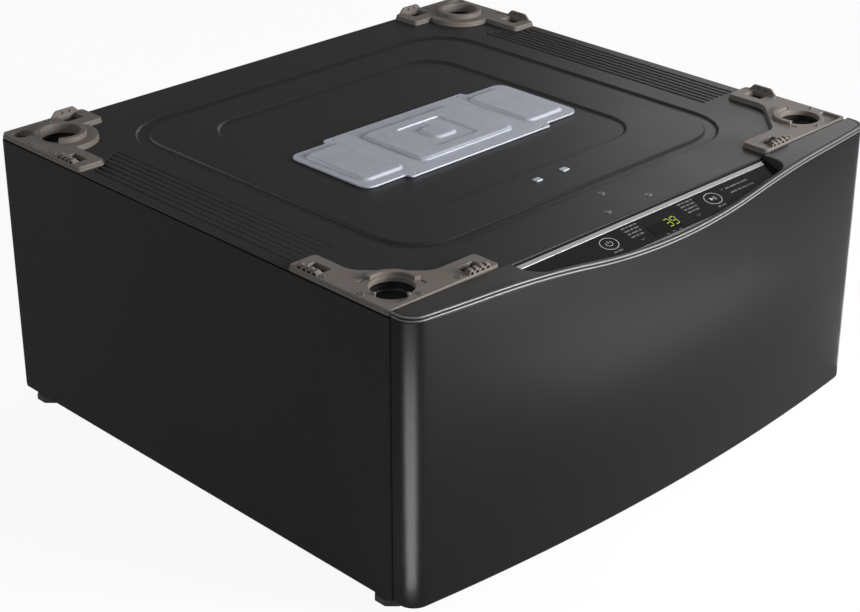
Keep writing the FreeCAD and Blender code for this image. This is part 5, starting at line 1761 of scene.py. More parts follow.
@dataclass
class DrawerFront:
    """Bowed drawer front: painted skin, double trim, cap with the control recess, printed face."""

    levels: Levels
    edge_depth: float = 29.0 * MM
    corner: float = 21.0 * MM
    skin: float = 1.5 * MM
    bottom_round: float = 3.0 * MM
    floor_reach: float = 9.0 * MM
    trim_height: float = 6.0 * MM
    trim_depth: float = 4.0 * MM
    bead: float = 1.05 * MM
    dip: float = 20.0 * MM
    dip_half: float = 270.0 * MM
    recess_half: float = 207.0 * MM
    recess_corner: float = 25.0 * MM
    recess_lip: float = 1.5 * MM
    cap_deep: float = 26.0 * MM
    cap_back: Point = (0.3 * MM, 2.3 * MM)
    face_thick: float = 2.0 * MM
    rear_drop: float = 8.0 * MM
    front_drop: float = 21.5 * MM
    print_rise: float = 0.08 * MM
    print_gap: float = 0.01 * MM
    strip_trim: float = 1.1 * MM
    strip_thick: float = 0.8 * MM
    lens_thick: float = 0.4 * MM
    bow_steps: int = 72

    def __post_init__(self) -> None:
        """Work out the bow's circle from the front's depth."""
        at = self.levels
        bow = at.front - self.edge_depth - at.nose
        self.bow_radius = (at.half ** 2 + bow ** 2) / (2 * bow)
        self.bow_y = at.nose + self.bow_radius

    def plan(self, half: float, inset: float, radius: float) -> list[Point]:
        """The bowed plan line from the rear left round to the rear right.

        Args:
            half: Half its width.
            inset: How far it is drawn in from the skin.
            radius: Radius of its two front corners.

        Returns:
            Its points, always as many.
        """
        bow = self.bow_radius - inset
        x = half - radius
        y = self.bow_y - math.sqrt((bow - radius) ** 2 - x ** 2)
        lean = math.atan2(x, self.bow_y - y)
        right = arc(x, y, radius, -math.pi / 2 + lean, 0, 8)
        face = arc(0, self.bow_y, bow, -math.pi / 2 - lean, -math.pi / 2 + lean, self.bow_steps)
        left = [(-px, py) for px, py in right[::-1]]
        return [(-half, self.levels.seam), *left, *face[1:-1], *right, (half, self.levels.seam)]

    def fall(self, x: float) -> float:
        """How far the top line dips at x.

        Args:
            x: The place across the front.

        Returns:
            The dip in metres.
        """
        run, depth = self.dip_half / 2, self.dip / 2
        radius = (run ** 2 + depth ** 2) / (2 * depth)
        away = abs(x)
        if away >= self.dip_half:
            return 0.0
        if away >= run:
            return radius - math.sqrt(radius ** 2 - (self.dip_half - away) ** 2)
        return self.dip - radius + math.sqrt(radius ** 2 - away ** 2)

    def swept(self, name: str, section: Sequence[tuple[float, From, float]]) -> Piece:
        """Sweep a closed section along the plan line.

        Args:
            name: The piece's name.
            section: Inset, the line it is measured from and height of each point.

        Returns:
            The object.
        """
        at = self.levels
        spots: list[Vector] = []
        for inset, line, height in section:
            for x, y in self.plan(at.half - inset, inset, self.corner - inset):
                z = at.bottom + height if line is From.BOTTOM else at.deck - self.fall(x) + height
                spots.append(Vector((x, y, z)))
        rows = len(section)
        count = len(spots) // rows
        faces: list[list[int]] = []
        for r in range(rows):
            a, b = r * count, (r + 1) % rows * count
            faces += [[a + i, a + i + 1, b + i + 1, b + i] for i in range(count - 1)]
        faces.append([r * count for r in range(rows)])
        faces.append([r * count + count - 1 for r in range(rows)])
        return from_faces(name, spots, faces)

    def skin_piece(self) -> None:
        """Make the painted skin with a rounded bottom edge."""
        s, r, h = self.skin, self.bottom_round, -self.trim_height
        section = [(self.floor_reach, From.BOTTOM, 0.0)]
        for i in range(6):
            angle = math.pi / 2 * i / 5
            section.append((r * (1 - math.sin(angle)), From.BOTTOM, r * (1 - math.cos(angle))))
        section += [(0.0, From.TOP, h - 0.5 * MM), (0.15 * MM, From.TOP, h - 0.15 * MM), (0.5 * MM, From.TOP, h),
                    (s, From.TOP, h), (s, From.BOTTOM, r), (r, From.BOTTOM, s), (self.floor_reach, From.BOTTOM, s)]
        skin = self.swept("front_skin", section)
        at = self.levels
        inner = self.plan(at.half - self.floor_reach, self.floor_reach, self.corner - self.floor_reach)
        floor = plate("floor", [Loop(inner, 0)], at.bottom, at.bottom + s)
        hand_over(joined("front_skin", [skin, floor]), Finishes.FRONT, Body.DRAWER, "front_black", "front_panel")

    def trim(self) -> None:
        """Make the two bright beads and the dark core between them."""
        r = self.bead
        beads = []
        for middle in (-r, r - self.trim_height):
            section = []
            for i in range(9):
                angle = math.pi * i / 8
                section.append((r - r * math.sin(angle), From.TOP, middle + r * math.cos(angle)))
            section += [(2 * r, From.TOP, middle - r), (2 * r, From.TOP, middle + r)]
            beads.append(self.swept("bead", section))
        hand_over(joined("trim_beads", beads), Finishes.TRIM, Body.DRAWER, "bright_trim", "trim_strip")
        d, h = self.trim_depth, self.trim_height
        core = self.swept("trim_core", [
            (1.4 * MM, From.TOP, -0.3 * MM), (1.4 * MM, From.TOP, -h), (d, From.TOP, -h), (d, From.TOP, -0.3 * MM)])
        hand_over(core, Finishes.TRIM_CORE, Body.DRAWER, "cap_black")

    def recess(self, inset: float) -> list[Point]:
        """Plan of the control recess from its rear left round to its rear right."""
        drawn_in = self.trim_depth + self.recess_lip + inset
        return self.plan(self.recess_half - inset, drawn_in, self.recess_corner - inset)

    def face_height(self, y: float) -> float:
        """Height of the sloped control face at y.

        Args:
            y: The place from front to rear.

        Returns:
            The height.
        """
        at = self.levels
        slope = (self.front_drop - self.rear_drop) / (at.seam - at.nose)
        return at.deck - self.rear_drop - slope * (at.seam - y)

    def cap(self) -> None:
        """Make the deck with the open recess."""
        at = self.levels
        d = self.trim_depth
        outer = self.plan(at.half - d, d, self.corner - d)
        outline = outer + self.recess(0)[::-1]
        deck = plate("deck", [Loop(outline, 0.9 * MM)], -self.cap_deep, 0,
                     lambda x, y, z: Vector((x, y, at.deck - self.fall(x) + z)))
        low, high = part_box("front_cap")
        near, far = (at.seam - inset for inset in self.cap_back)
        back = plate("back", [Loop(rounded_box(low.x, high.x, far, near, 0.5 * MM), FINE_EDGE)], low.z,
                     at.deck - self.rear_drop - self.face_thick)
        hand_over(joined("cap_deck", [deck, back]), Finishes.CAP, Body.DRAWER, "cap_black", "front_cap")

    def on_face(self, low: float, high: float) -> Warp:
        """A warp that lays a plate of heights 0 and 1 on the control face."""
        return lambda x, y, t: Vector((x, y, self.face_height(y) + low + (high - low) * t))

    def control(self) -> None:
        """Make the face, the bright strip behind it and the display window."""
        face = plate("touch_face", [Loop(self.recess(0.3 * MM), 0)], 0, 1, self.on_face(-self.face_thick, 0))
        hand_over(face, Finishes.FACE, Body.DRAWER, "control_black", "control_panel")
        low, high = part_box("control_strip")
        outline = rounded_box(low.x, high.x, low.y + self.strip_trim, high.y, 1.0 * MM)
        bar = plate("satin_strip", [Loop(outline, FINE_EDGE)], 0, self.strip_thick, self.on_face(0, 1))
        hand_over(bar, Finishes.STRIP, Body.DRAWER, "bright_trim", "control_strip")
        low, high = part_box("display_lens")
        outline = rounded_box(low.x, high.x, low.y, high.y, 1.5 * MM)
        lens = plate("display_window", [Loop(outline, 0.15 * MM)], 0, self.lens_thick, self.on_face(0, 1))
        hand_over(lens, Finishes.LENS, Body.DRAWER, "lens_black", "display_lens")

    def build(self) -> None:
        """Make the whole front."""
        self.skin_piece()
        self.trim()
        self.cap()
        self.control()
        dress_node("front_inner_panel", Finishes.FRAME)
        dress_node("control_board", Finishes.BOARD)
        ControlPrint(self).build()


@dataclass
class ControlPrint:
    """Plain marks printed on the control face, and the display's two digits; bars are in millimetres."""

    front: DrawerFront
    middle: float = 5.0 * MM
    key_x: float = 85.0 * MM
    key_y: float = 21.5 * MM
    key_radius: float = 11.7 * MM
    key_flat: float = 0.8
    line: float = 0.75 * MM
    sign_radius: float = 4.4 * MM
    sign_stroke: Point = (0.6 * MM, 5.2 * MM)
    play_back: float = 1.8 * MM
    play: Triple = (-2.6 * MM, 2.2 * MM, 3.2 * MM)
    pause: Point = (3.3 * MM, 5.6 * MM)
    list_x: float = 46.0 * MM
    list_left: float = 9.0 * MM
    list_first: float = 11.0 * MM
    list_pitch: float = 5.0 * MM
    list_bars: tuple[Sequence[float], ...] = ((6, 4, 7, 4), (8, 5, 7), (5, 10, 4), (7, 4, 6))
    key_word: Point = (7.0 * MM, 13.5 * MM)
    key_bars: Sequence[float] = (5, 7)
    arrow_y: float = 34.0 * MM
    arrow_half: Point = (2.8 * MM, 1.1 * MM)
    row_x: float = 113.0 * MM
    row_left: float = 5.0 * MM
    row_y: Point = (16.0 * MM, 24.0 * MM)
    row_bars: tuple[Sequence[float], ...] = ((7, 11, 5, 12), (12, 6, 10, 9))
    dot: Point = (15.0 * MM, 1.0 * MM)
    word: float = 2.0 * MM
    word_gap: float = 1.2 * MM
    icon_y: float = 3.2 * MM
    icon_x: Triple = (-8.0 * MM, 2.0 * MM, 12.0 * MM)
    digit_x: Point = (4.0 * MM, 13.5 * MM)
    digit_size: Point = (6.6 * MM, 11.6 * MM)
    digit_line: float = 0.85 * MM
    digit_gap: float = 0.2 * MM
    digit_back: float = 1.8 * MM
    digit_lean: float = 0.12
    digits: tuple[int, int] = (3, 9)
    segments: tuple[str, ...] = ("abcdef", "bc", "abdeg", "abcdg", "bcfg", "acdfg", "acdefg", "abc", "abcdefg",
                                 "abcdfg")

    def at(self, forward: float) -> float:
        """The y that is a distance in front of the face's rear edge."""
        return self.front.levels.seam - forward

    def lay(self, name: str, outlines: Sequence[Sequence[Loop]], finish: Finish, rise: float = 0.0) -> None:
        """Lay printed outlines on the face.

        Args:
            name: The piece's name.
            outlines: Each an outer loop with its holes.
            finish: The ink.
            rise: Height of what it is printed on, above the face.
        """
        under = rise + self.front.print_gap
        warp = self.front.on_face(under, under + self.front.print_rise)
        parts = [plate("mark", loops, 0, 1, warp) for loops in outlines]
        hand_over(joined(name, parts), finish, Body.DRAWER, "lens_black")

    def ring(self, x: float, y: float, radius: float) -> list[Loop]:
        """A thin ring."""
        return [Loop(circle(x, y, radius, 48), 0), Loop(circle(x, y, radius - self.line, 48), 0)]

    def bar(self, x: float, y: float, long: float, wide: float) -> list[Loop]:
        """A short bar along x."""
        return [Loop(rounded_box(x - long / 2, x + long / 2, y - wide / 2, y + wide / 2, wide / 2.2), 0)]

    def keys(self) -> list[list[Loop]]:
        """The two round keys: power, and start with pause.

        Returns:
            The marks, each an outer loop with its holes.
        """
        y = self.at(self.key_y)
        left, right = self.middle - self.key_x, self.middle + self.key_x
        marks = [self.ring(left, y, self.key_radius), self.ring(right, y, self.key_radius)]
        sign = arc(left, y, self.sign_radius, math.radians(130), math.radians(410), 20)
        strokes = [sign, [(left, y + up) for up in self.sign_stroke]]
        x, (back, tip, half) = right - self.play_back, self.play
        strokes += [[(x + offset, y - half), (x + offset, y + half)] for offset in self.pause]
        marks += [[Loop(stroke(points, self.line), 0)] for points in strokes]
        marks.append([Loop([(x + back, y - half), (x + tip, y), (x + back, y + half)], 0)])
        for loop in (loop for mark in marks for loop in mark):
            loop.points = [(px, y + (py - y) * self.key_flat) for px, py in loop.points]
        return marks

    def words(self, x: float, y: float, lengths: Sequence[float]) -> list[list[Loop]]:
        """A line of bars that starts at x, with gaps as between words.

        Args:
            x: Where it starts.
            y: Its middle line.
            lengths: Each bar's length in millimetres.

        Returns:
            The bars.
        """
        marks = []
        for length in lengths:
            long = length * MM
            marks.append(self.bar(x + long / 2, y, long, self.word))
            x += long + self.word_gap
        return marks

    def lists(self) -> list[list[Loop]]:
        """Short bars beside the display and the arrow heads in front of them.

        Returns:
            The marks.
        """
        marks = []
        (left, forward), (u, v) = self.key_word, self.arrow_half
        y = self.at(self.arrow_y)
        for side in (-1, 1):
            x = self.middle + side * self.list_x
            for row, bars in enumerate(self.list_bars):
                marks += self.words(x - self.list_left, self.at(self.list_first + row * self.list_pitch), bars)
            marks += self.words(self.middle + side * self.key_x - left, self.at(self.key_y + forward), self.key_bars)
            marks.append([Loop(stroke([(x - u, y + v), (x, y - v), (x + u, y + v)], self.line), 0)])
        return marks

    def rows(self) -> list[list[Loop]]:
        """Two rows of small marks on the right, with a dot before them.

        Returns:
            The marks.
        """
        forward, radius = self.dot
        marks = [[Loop(circle(self.row_x, self.at(forward), radius, 16), 0)]]
        for forward, bars in zip(self.row_y, self.row_bars):
            marks += self.words(self.row_x + self.row_left, self.at(forward), bars)
        return marks

    def icons(self) -> list[list[Loop]]:
        """Three small signs in front of the display: a drop, a ring and a bar.

        Returns:
            The marks.
        """
        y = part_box("display_lens")[0].y - self.icon_y
        left, middle, right = self.icon_x
        belly = arc(left, y - 0.6 * MM, 1.4 * MM, math.radians(150), math.radians(390), 10)
        return [[Loop([(left, y + 2.2 * MM), *belly], 0)], self.ring(middle, y, 1.9 * MM),
                self.bar(right, y, 4.4 * MM, 1.2 * MM)]

    def lit(self) -> list[list[Loop]]:
        """The segments of both digits.

        Returns:
            The marks.
        """
        low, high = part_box("display_lens")
        base = (low.y + high.y) / 2 - self.digit_size[1] / 2 + self.digit_back
        wide, tall = self.digit_size
        w, gap = self.digit_line, self.digit_gap
        spans = {"a": ((0, 2), (1, 2)), "b": ((1, 1), (1, 2)), "c": ((1, 0), (1, 1)), "d": ((0, 0), (1, 0)),
                 "e": ((0, 0), (0, 1)), "f": ((0, 1), (0, 2)), "g": ((0, 1), (1, 1))}
        marks = []
        for x0, digit in zip(self.digit_x, self.digits):
            for key in self.segments[digit]:
                ends = []
                for u, v in spans[key]:
                    height = v * tall / 2
                    ends.append(Vector((x0 + u * wide + self.digit_lean * height, base + height)))
                along = (ends[1] - ends[0]).normalized() * (w / 2 + gap)
                marks.append([Loop(stroke([tuple(ends[0] + along), tuple(ends[1] - along)], w), 0)])
        return marks

    def build(self) -> None:
        """Lay all marks."""
        self.lay("key_marks", self.keys(), Finishes.MARK)
        self.lay("list_marks", self.lists() + self.icons(), Finishes.FAINT)
        self.lay("row_marks", self.rows(), Finishes.FAINT)
        self.lay("display_digits", self.lit(), Finishes.DIGIT, self.front.lens_thick)


@dataclass
class WashUnit:
    """Drawer cover, lid, basket, pulsator and the solids of the drive."""

    centre: Vector = field(default_factory=lambda: sum(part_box("basket"), Vector()) / 2)
    hole_rows: int = 9
    hole_columns: int = 96
    hole_share: float = 0.34
    sheet: float = 1.2 * MM
    bottom_round: float = 22.0 * MM
    vanes: int = 5
    lid_window: float = 118.0 * MM
    lid_rebate: float = 4.0 * MM
    lid_round: float = 2.0 * MM
    lid_bevel: float = 1.0 * MM
    cover_gap: float = 18.0 * MM
    cover_edge: float = 1.0 * MM
    cover_corner: float = 6.0 * MM
    hinge_notch: Point = (56.0 * MM, 15.0 * MM)
    funnel_wall: float = 2.0 * MM
    funnel_corner: float = 7.0 * MM
    funnel_mouth: float = 5.0 * MM
    hub: float = 14.0 * MM
    plate_rim: float = 9.0 * MM
    crown_rise: float = 10.0 * MM
    crown_reach: float = 35.0 * MM
    crown_soft: float = 4.0 * MM
    vane_rise: float = 7.0 * MM
    edge_fall: float = 5.0 * MM
    grip_half: Point = (34.0 * MM, 9.0 * MM)
    ear_side: float = 26.0 * MM
    ear_half: float = 5.0 * MM
    ear_root: float = 6.0 * MM
    pin_hole: float = 2.05 * MM

    def axis(self) -> Vector:
        """A point on the wash axis at floor height."""
        return Vector((self.centre.x, self.centre.y, 0.0))

    def basket(self) -> None:
        """Make the basket: a pierced wall, and a floor turned in one piece with its rounded edge."""
        low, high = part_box("basket")
        radius = high.x
        z0 = low.z + self.bottom_round
        tree = ShapeGraph("pierced_wall", {"Radius": radius, "Bottom": z0, "Height": high.z - z0,
                                           "Hole Share": self.hole_share, "Sheet": self.sheet})
        grid = tree.val("GeometryNodeMeshGrid", {
            "Size X": 1.0, "Size Y": 1.0, "Vertices X": self.hole_columns + 1, "Vertices Y": self.hole_rows + 1})
        inner = tree.node("GeometryNodeExtrudeMesh", {"Mesh": grid, "Offset Scale": 0.0, "Individual": True},
                          mode="FACES")
        top = inner.outputs["Top"]
        scaled = tree.val("GeometryNodeScaleElements", {
            "Geometry": inner.outputs["Mesh"], "Selection": top, "Scale": tree.size("Hole Share")}, domain="FACE")
        pierced = tree.val("GeometryNodeDeleteGeometry", {"Geometry": scaled, "Selection": top}, domain="FACE")
        place = tree.val("GeometryNodeInputPosition")
        parts = tree.node("ShaderNodeSeparateXYZ", {0: place})
        turn = Val(tree, parts.outputs[0]) * (2 * math.pi)
        around_x = tree.val("ShaderNodeMath", {0: turn}, operation="COSINE") * tree.size("Radius")
        around_y = tree.val("ShaderNodeMath", {0: turn}, operation="SINE") * tree.size("Radius")
        level = (Val(tree, parts.outputs[1]) + 0.5) * tree.size("Height") + tree.size("Bottom")
        wrapped = tree.val("GeometryNodeSetPosition", {
            "Geometry": pierced, "Position": tree.vector(around_x, around_y, level)})
        closed = tree.val("GeometryNodeMergeByDistance", {"Geometry": wrapped, "Distance": 0.01 * MM})
        wall = tree.run("basket_wall", point_cloud([Vector()]), closed, Finishes.BASKET)
        thick = wall.modifiers.new("sheet", "SOLIDIFY")
        thick.thickness = self.sheet
        thick.offset = -1.0
        mesh = plain_mesh(wall)
        mesh.transform(Matrix.Translation(self.axis()))
        bpy.data.objects.remove(wall)
        r, s, b = radius, self.sheet, self.bottom_round
        outer = arc(r - b, z0, b, 0, -math.pi / 2, 8)
        inside = arc(r - b, z0, b - s, -math.pi / 2, 0, 8)
        floor = turned("floor", [*outer, (self.hub, low.z), (self.hub, low.z + s), *inside], self.axis())
        hand_over(joined("basket_drum", [make_object("wall", mesh), floor]), Finishes.BASKET, Body.BASKET,
                  "steel", "basket")

    def pulsator(self) -> None:
        """Make the wash plate as one surface with a crown and soft vanes."""
        low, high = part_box("pulsator")
        radius = high.x
        rim = low.z + self.plate_rim
        rings, turns = 26, 120
        spots = []
        faces = []
        for i in range(rings + 1):
            share = i / rings
            for k in range(turns):
                angle = 2 * math.pi * k / turns
                crown = self.crown_rise / (1 + math.exp((share * radius - self.crown_reach) / self.crown_soft))
                wave = 0.5 + 0.5 * math.cos(self.vanes * angle)
                reach = max(0.0, math.sin(math.pi * min(1.0, max(0.0, (share - 0.12) / 0.82))))
                vane = self.vane_rise * wave ** 10 * reach ** 0.5
                edge = self.edge_fall * max(0.0, (share - 0.94) / 0.06) ** 2
                spots.append(self.axis() + Vector((share * radius * math.cos(angle), share * radius * math.sin(angle),
                                                   min(rim + max(crown, vane) - edge, high.z))))
        for i in range(rings):
            for k in range(turns):
                m = (k + 1) % turns
                faces.append((i * turns + k, i * turns + m, (i + 1) * turns + m, (i + 1) * turns + k))
        last = rings * turns
        base = len(spots)
        spots += [Vector((s.x, s.y, low.z)) for s in spots[last:last + turns]]
        faces += [(last + k, last + (k + 1) % turns, base + (k + 1) % turns, base + k) for k in range(turns)]
        faces.append(list(range(base, base + turns)))
        hand_over(from_faces("wash_plate", spots, faces), Finishes.PULSATOR, Body.AGITATOR, "pulsator_white",
                  "pulsator", crease=50.0)

    def lid(self) -> None:
        """Make the lid's rounded ring with its grip and hinge ears."""
        low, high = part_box("lid_frame")
        x1 = high.x
        inner = self.lid_window - self.lid_rebate
        z0, z1 = low.z, high.z
        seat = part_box("lid_window")[0].z
        r, b, gap = self.lid_round, self.lid_bevel, self.lid_window + 0.1 * MM
        outer = arc(x1 - r, z1 - r, r, 0, math.pi / 2, 5)
        profile = [(inner, z0), (x1 - b, z0), (x1, z0 + b), *outer, (self.lid_window + b, z1), (gap, z1 - 0.6 * MM),
                   (gap, seat), (inner, seat)]
        parts = [turned("ring", profile, self.axis(), 128)]
        edge = self.centre.y - x1
        u, v = self.grip_half
        grip = rounded_box(-u, u, edge - v, edge + v, v / 2)
        parts.append(plate("grip", [Loop(grip, 1.2 * MM)], z0, z0 + (z1 - z0) / 2))
        barrel = (z1 - z0) / 2
        hinge_y, hinge_z = high.y - barrel, z0 + barrel
        for side in (-1, 1):
            x = side * self.ear_side
            web = arc(hinge_y, hinge_z, barrel, -math.pi / 2, math.pi / 2, 12)
            root = self.centre.y + x1 - self.ear_root
            ear = Loop([(root, z1), (root, z0), *web], CRISP_EDGE)
            hole = Loop(circle(hinge_y, hinge_z, self.pin_hole, 20), 0)
            parts.append(plate("ear", [ear, hole], x - self.ear_half, x + self.ear_half,
                               lambda y, z, t: Vector((t, y, z))))
        hand_over(joined("lid_ring", parts), Finishes.LID, Body.LID, "cover_grey", "lid_frame")
        dress_node("lid_window", Finishes.GLASS)

    def cover(self) -> None:
        """Make the drawer cover with rounded edges round its openings."""
        low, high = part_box("drawer_cover")
        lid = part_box("lid_frame")[1]
        radius = lid.x + self.cover_gap
        notch_half, notch_past = self.hinge_notch
        pin_low, pin_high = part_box("lid_hinge_pin")
        notch_y = (pin_low.y + pin_high.y) / 2 + notch_past
        spread = math.asin(notch_half / radius)
        cx, cy = self.centre.x, self.centre.y
        opening = arc(cx, cy, radius, math.pi / 2 + spread, 5 * math.pi / 2 - spread, 72)
        if notch_y > opening[0][1]:
            opening += [(cx + notch_half, notch_y), (cx - notch_half, notch_y)]
        cup_low, cup_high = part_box("detergent_funnel")
        w = self.funnel_wall
        mouth = rounded_box(cup_low.x + w, cup_high.x - w, cup_low.y + w, cup_high.y - w, self.funnel_mouth)
        outline = rounded_box(low.x, high.x, low.y, high.y, self.cover_corner)
        loops = [Loop(points, self.cover_edge) for points in (outline, opening, mouth)]
        sheet = plate("cover_sheet", loops, low.z, high.z)
        hand_over(sheet, Finishes.COVER, Body.DRAWER, "cover_grey", "drawer_cover")
        cup = Loop(rounded_box(cup_low.x, cup_high.x, cup_low.y, cup_high.y, self.funnel_corner), 0)
        walls = plate("walls", [cup, Loop(mouth, 0)], cup_low.z + w, cup_high.z)
        floor = plate("floor", [cup], cup_low.z, cup_low.z + w)
        hand_over(joined("detergent_cup", [walls, floor]), Finishes.VALVE, Body.DRAWER, "cover_grey",
                  "detergent_funnel")

    def build(self) -> None:
        """Make the wash unit's pieces and dress its solids."""
        self.cover()
        self.lid()
        self.basket()
        self.pulsator()
        plain = {
            Finishes.RUNNER: ("outer_rails", "middle_rails", "inner_rails"),
            Finishes.TUB: ("tub", "tub_cover"),
            Finishes.SEAL: ("collar_seal", "shaft_seal"),
            Finishes.STEEL: ("lid_hinge_pin", "basket_shaft", "drive_shaft", "shaft_bearings", "suspension_rods"),
            Finishes.VALVE: ("balance_ring", "pump_impeller"),
            Finishes.FRAME: ("drawer_tray", "rotor", "bearing_housing"),
            Finishes.WINDING: ("stator",),
            Finishes.CASE: ("pump_body", "main_board_case"),
        }
        for finish, nodes in plain.items():
            for node in nodes:
                dress_node(node, finish)


@dataclass
class Suspension:
    """Coil springs under the tub's ears."""

    wire: float = 1.7 * MM
    turns: float = 7.0
    radius: float = 15.0 * MM

    def build(self) -> None:
        """Make the four springs between the drawer and the tub."""
        low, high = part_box("suspension_springs")
        x = high.x - self.radius
        y = (high.y - low.y) / 2 - self.radius
        middle = (low.y + high.y) / 2
        spots = [Vector((sx * x, middle + sy * y, low.z + self.wire)) for sx in (-1, 1) for sy in (-1, 1)]
        tree = ShapeGraph("coil_springs", {"Radius": self.radius - self.wire, "Wire": self.wire, "Turns": self.turns,
                                           "Height": high.z - low.z - 2 * self.wire})
        helix = tree.val("GeometryNodeCurveSpiral", {
            "Resolution": 20, "Rotations": tree.size("Turns"), "Start Radius": tree.size("Radius"),
            "End Radius": tree.size("Radius"), "Height": tree.size("Height")})
        coil = tree.tube(helix, tree.size("Wire"), 8).outputs[0]
        placed = tree.val("GeometryNodeInstanceOnPoints", {"Points": tree.geometry(), "Instance": coil})
        springs = tree.run("coil_springs", point_cloud(spots), placed, Finishes.STEEL)
        hand_between(springs, (Body.DRAWER, Body.TUB), (0, 0, low.z), (0, 0, high.z), "suspension_springs")


@dataclass
class Services:
    """Hoses and the wire loop inside the machine."""

    loops: tuple[tuple[str, str, str, float, float], ...] = (
        ("drain_loop", "drain_hose", "drain_spigot", 10.0 * MM, 0.12),
        ("fill_loop", "fill_hose", "inlet_valves", 8.0 * MM, 0.0),
        ("wire_loop", "wire_harness", "cord_gland", 5.0 * MM, 0.0),
    )
    rib_pitch: float = 5.0 * MM
    sump_radius: float = 11.0 * MM
    pump_radius: float = 33.0 * MM
    clamp_inset: float = 54.0 * MM
    drop: float = 40.0 * MM
    rear_run: float = 60.0 * MM
    bend_run: float = 70.0 * MM
    held: Point = (0.15, 0.85)

    def hose(self, name: str, route: Sequence[Sequence[float]], radius: float, ribs: float) -> Piece:
        """Make one hose along a smooth line.

        Args:
            name: The piece's name.
            route: Control points.
            radius: Its radius.
            ribs: Height of its ribs as a share of the radius.

        Returns:
            The hose.
        """
        data = bpy.data.curves.new(name, "CURVE")
        data.dimensions = "3D"
        data.resolution_u = 12
        spline = data.splines.new("NURBS")
        spline.points.add(len(route) - 1)
        for point, spot in zip(spline.points, route):
            point.co = (*spot, 1.0)
        spline.use_endpoint_u = True
        spline.order_u = 3
        base = bpy.data.objects.new("route", data)
        bpy.context.scene.collection.objects.link(base)
        tree = ShapeGraph(name, {"Radius": radius, "Ribs": ribs, "Rib Pitch": self.rib_pitch})
        even = tree.val("GeometryNodeResampleCurve", {
            "Curve": tree.geometry(), "Length": tree.size("Rib Pitch") / 4.0}, mode="LENGTH")
        number = tree.val("GeometryNodeInputIndex")
        wave = tree.val("ShaderNodeMath", {0: number * (math.pi / 2)}, operation="COSINE")
        thick = tree.val("GeometryNodeSetCurveRadius", {
            "Curve": even, "Radius": 1.0 - tree.size("Ribs") + wave * tree.size("Ribs")})
        wall = tree.tube(thick, tree.size("Radius"), 16)
        tree.put(wall.inputs["Scale"], tree.val("GeometryNodeInputRadius"))
        return tree.run(name, base, Val(tree, wall.outputs[0]), Finishes.HOSE)

    def loop(self, name: str, node: str, block: str, radius: float, ribs: float) -> None:
        """Make one loop from the rear panel to the drawer.

        Args:
            name: The piece's name.
            node: The CAD node that it stands for.
            block: The node it starts from.
            radius: Its radius.
            ribs: Height of its ribs.
        """
        low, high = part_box(node)
        block_low, block_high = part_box(block)
        x_port = (block_low.x + block_high.x) / 2
        near = low.x + radius if abs(high.x - radius - x_port) < abs(low.x + radius - x_port) else high.x - radius
        y_port = high.y - radius
        z = low.z + radius
        clamp_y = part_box("drawer_tray")[1].y - self.clamp_inset
        front = low.y + radius
        bend = front + self.bend_run
        route = [(x_port, y_port, high.z), (x_port, y_port, z + self.drop), (x_port, y_port, z),
                 (x_port, y_port - self.rear_run, z), (x_port, bend, z), (x_port, front, z), (near, front, z),
                 (near, bend, z), (near, clamp_y, z)]
        start, end = ((x_port + (near - x_port) * share, 0, 0) for share in self.held)
        hose = self.hose(name, route, radius, ribs)
        hand_between(hose, (Body.CABINET, Body.DRAWER), start, end, node)

    def sump(self) -> None:
        """Make the short hose from the tub's drain to the pump."""
        low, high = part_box("sump_hose")
        pump_low, pump_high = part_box("pump_body")
        r = self.sump_radius
        top = Vector((high.x - r, low.y + r, high.z))
        if abs(low.x - pump_low.x) > abs(high.x - pump_high.x):
            top.x = low.x + r
        pump = (pump_low + pump_high) / 2
        level = low.z + r
        across = Vector((pump.x - top.x, pump.y - top.y, 0.0))
        near = Vector((top.x, top.y, level))
        end = near + across * (1 - self.pump_radius / across.length)
        route = [top, near + (top - near) * 0.45, near, near + across * 0.1, near + across * 0.3, end]
        hand_between(self.hose("sump_loop", route, r, 0.0), (Body.DRAWER, Body.TUB), (0, 0, level), (0, 0, high.z),
                     "sump_hose")

    def build(self) -> None:
        """Make the loops and the short hose."""
        for loop in self.loops:
            self.loop(*loop)
        self.sump()


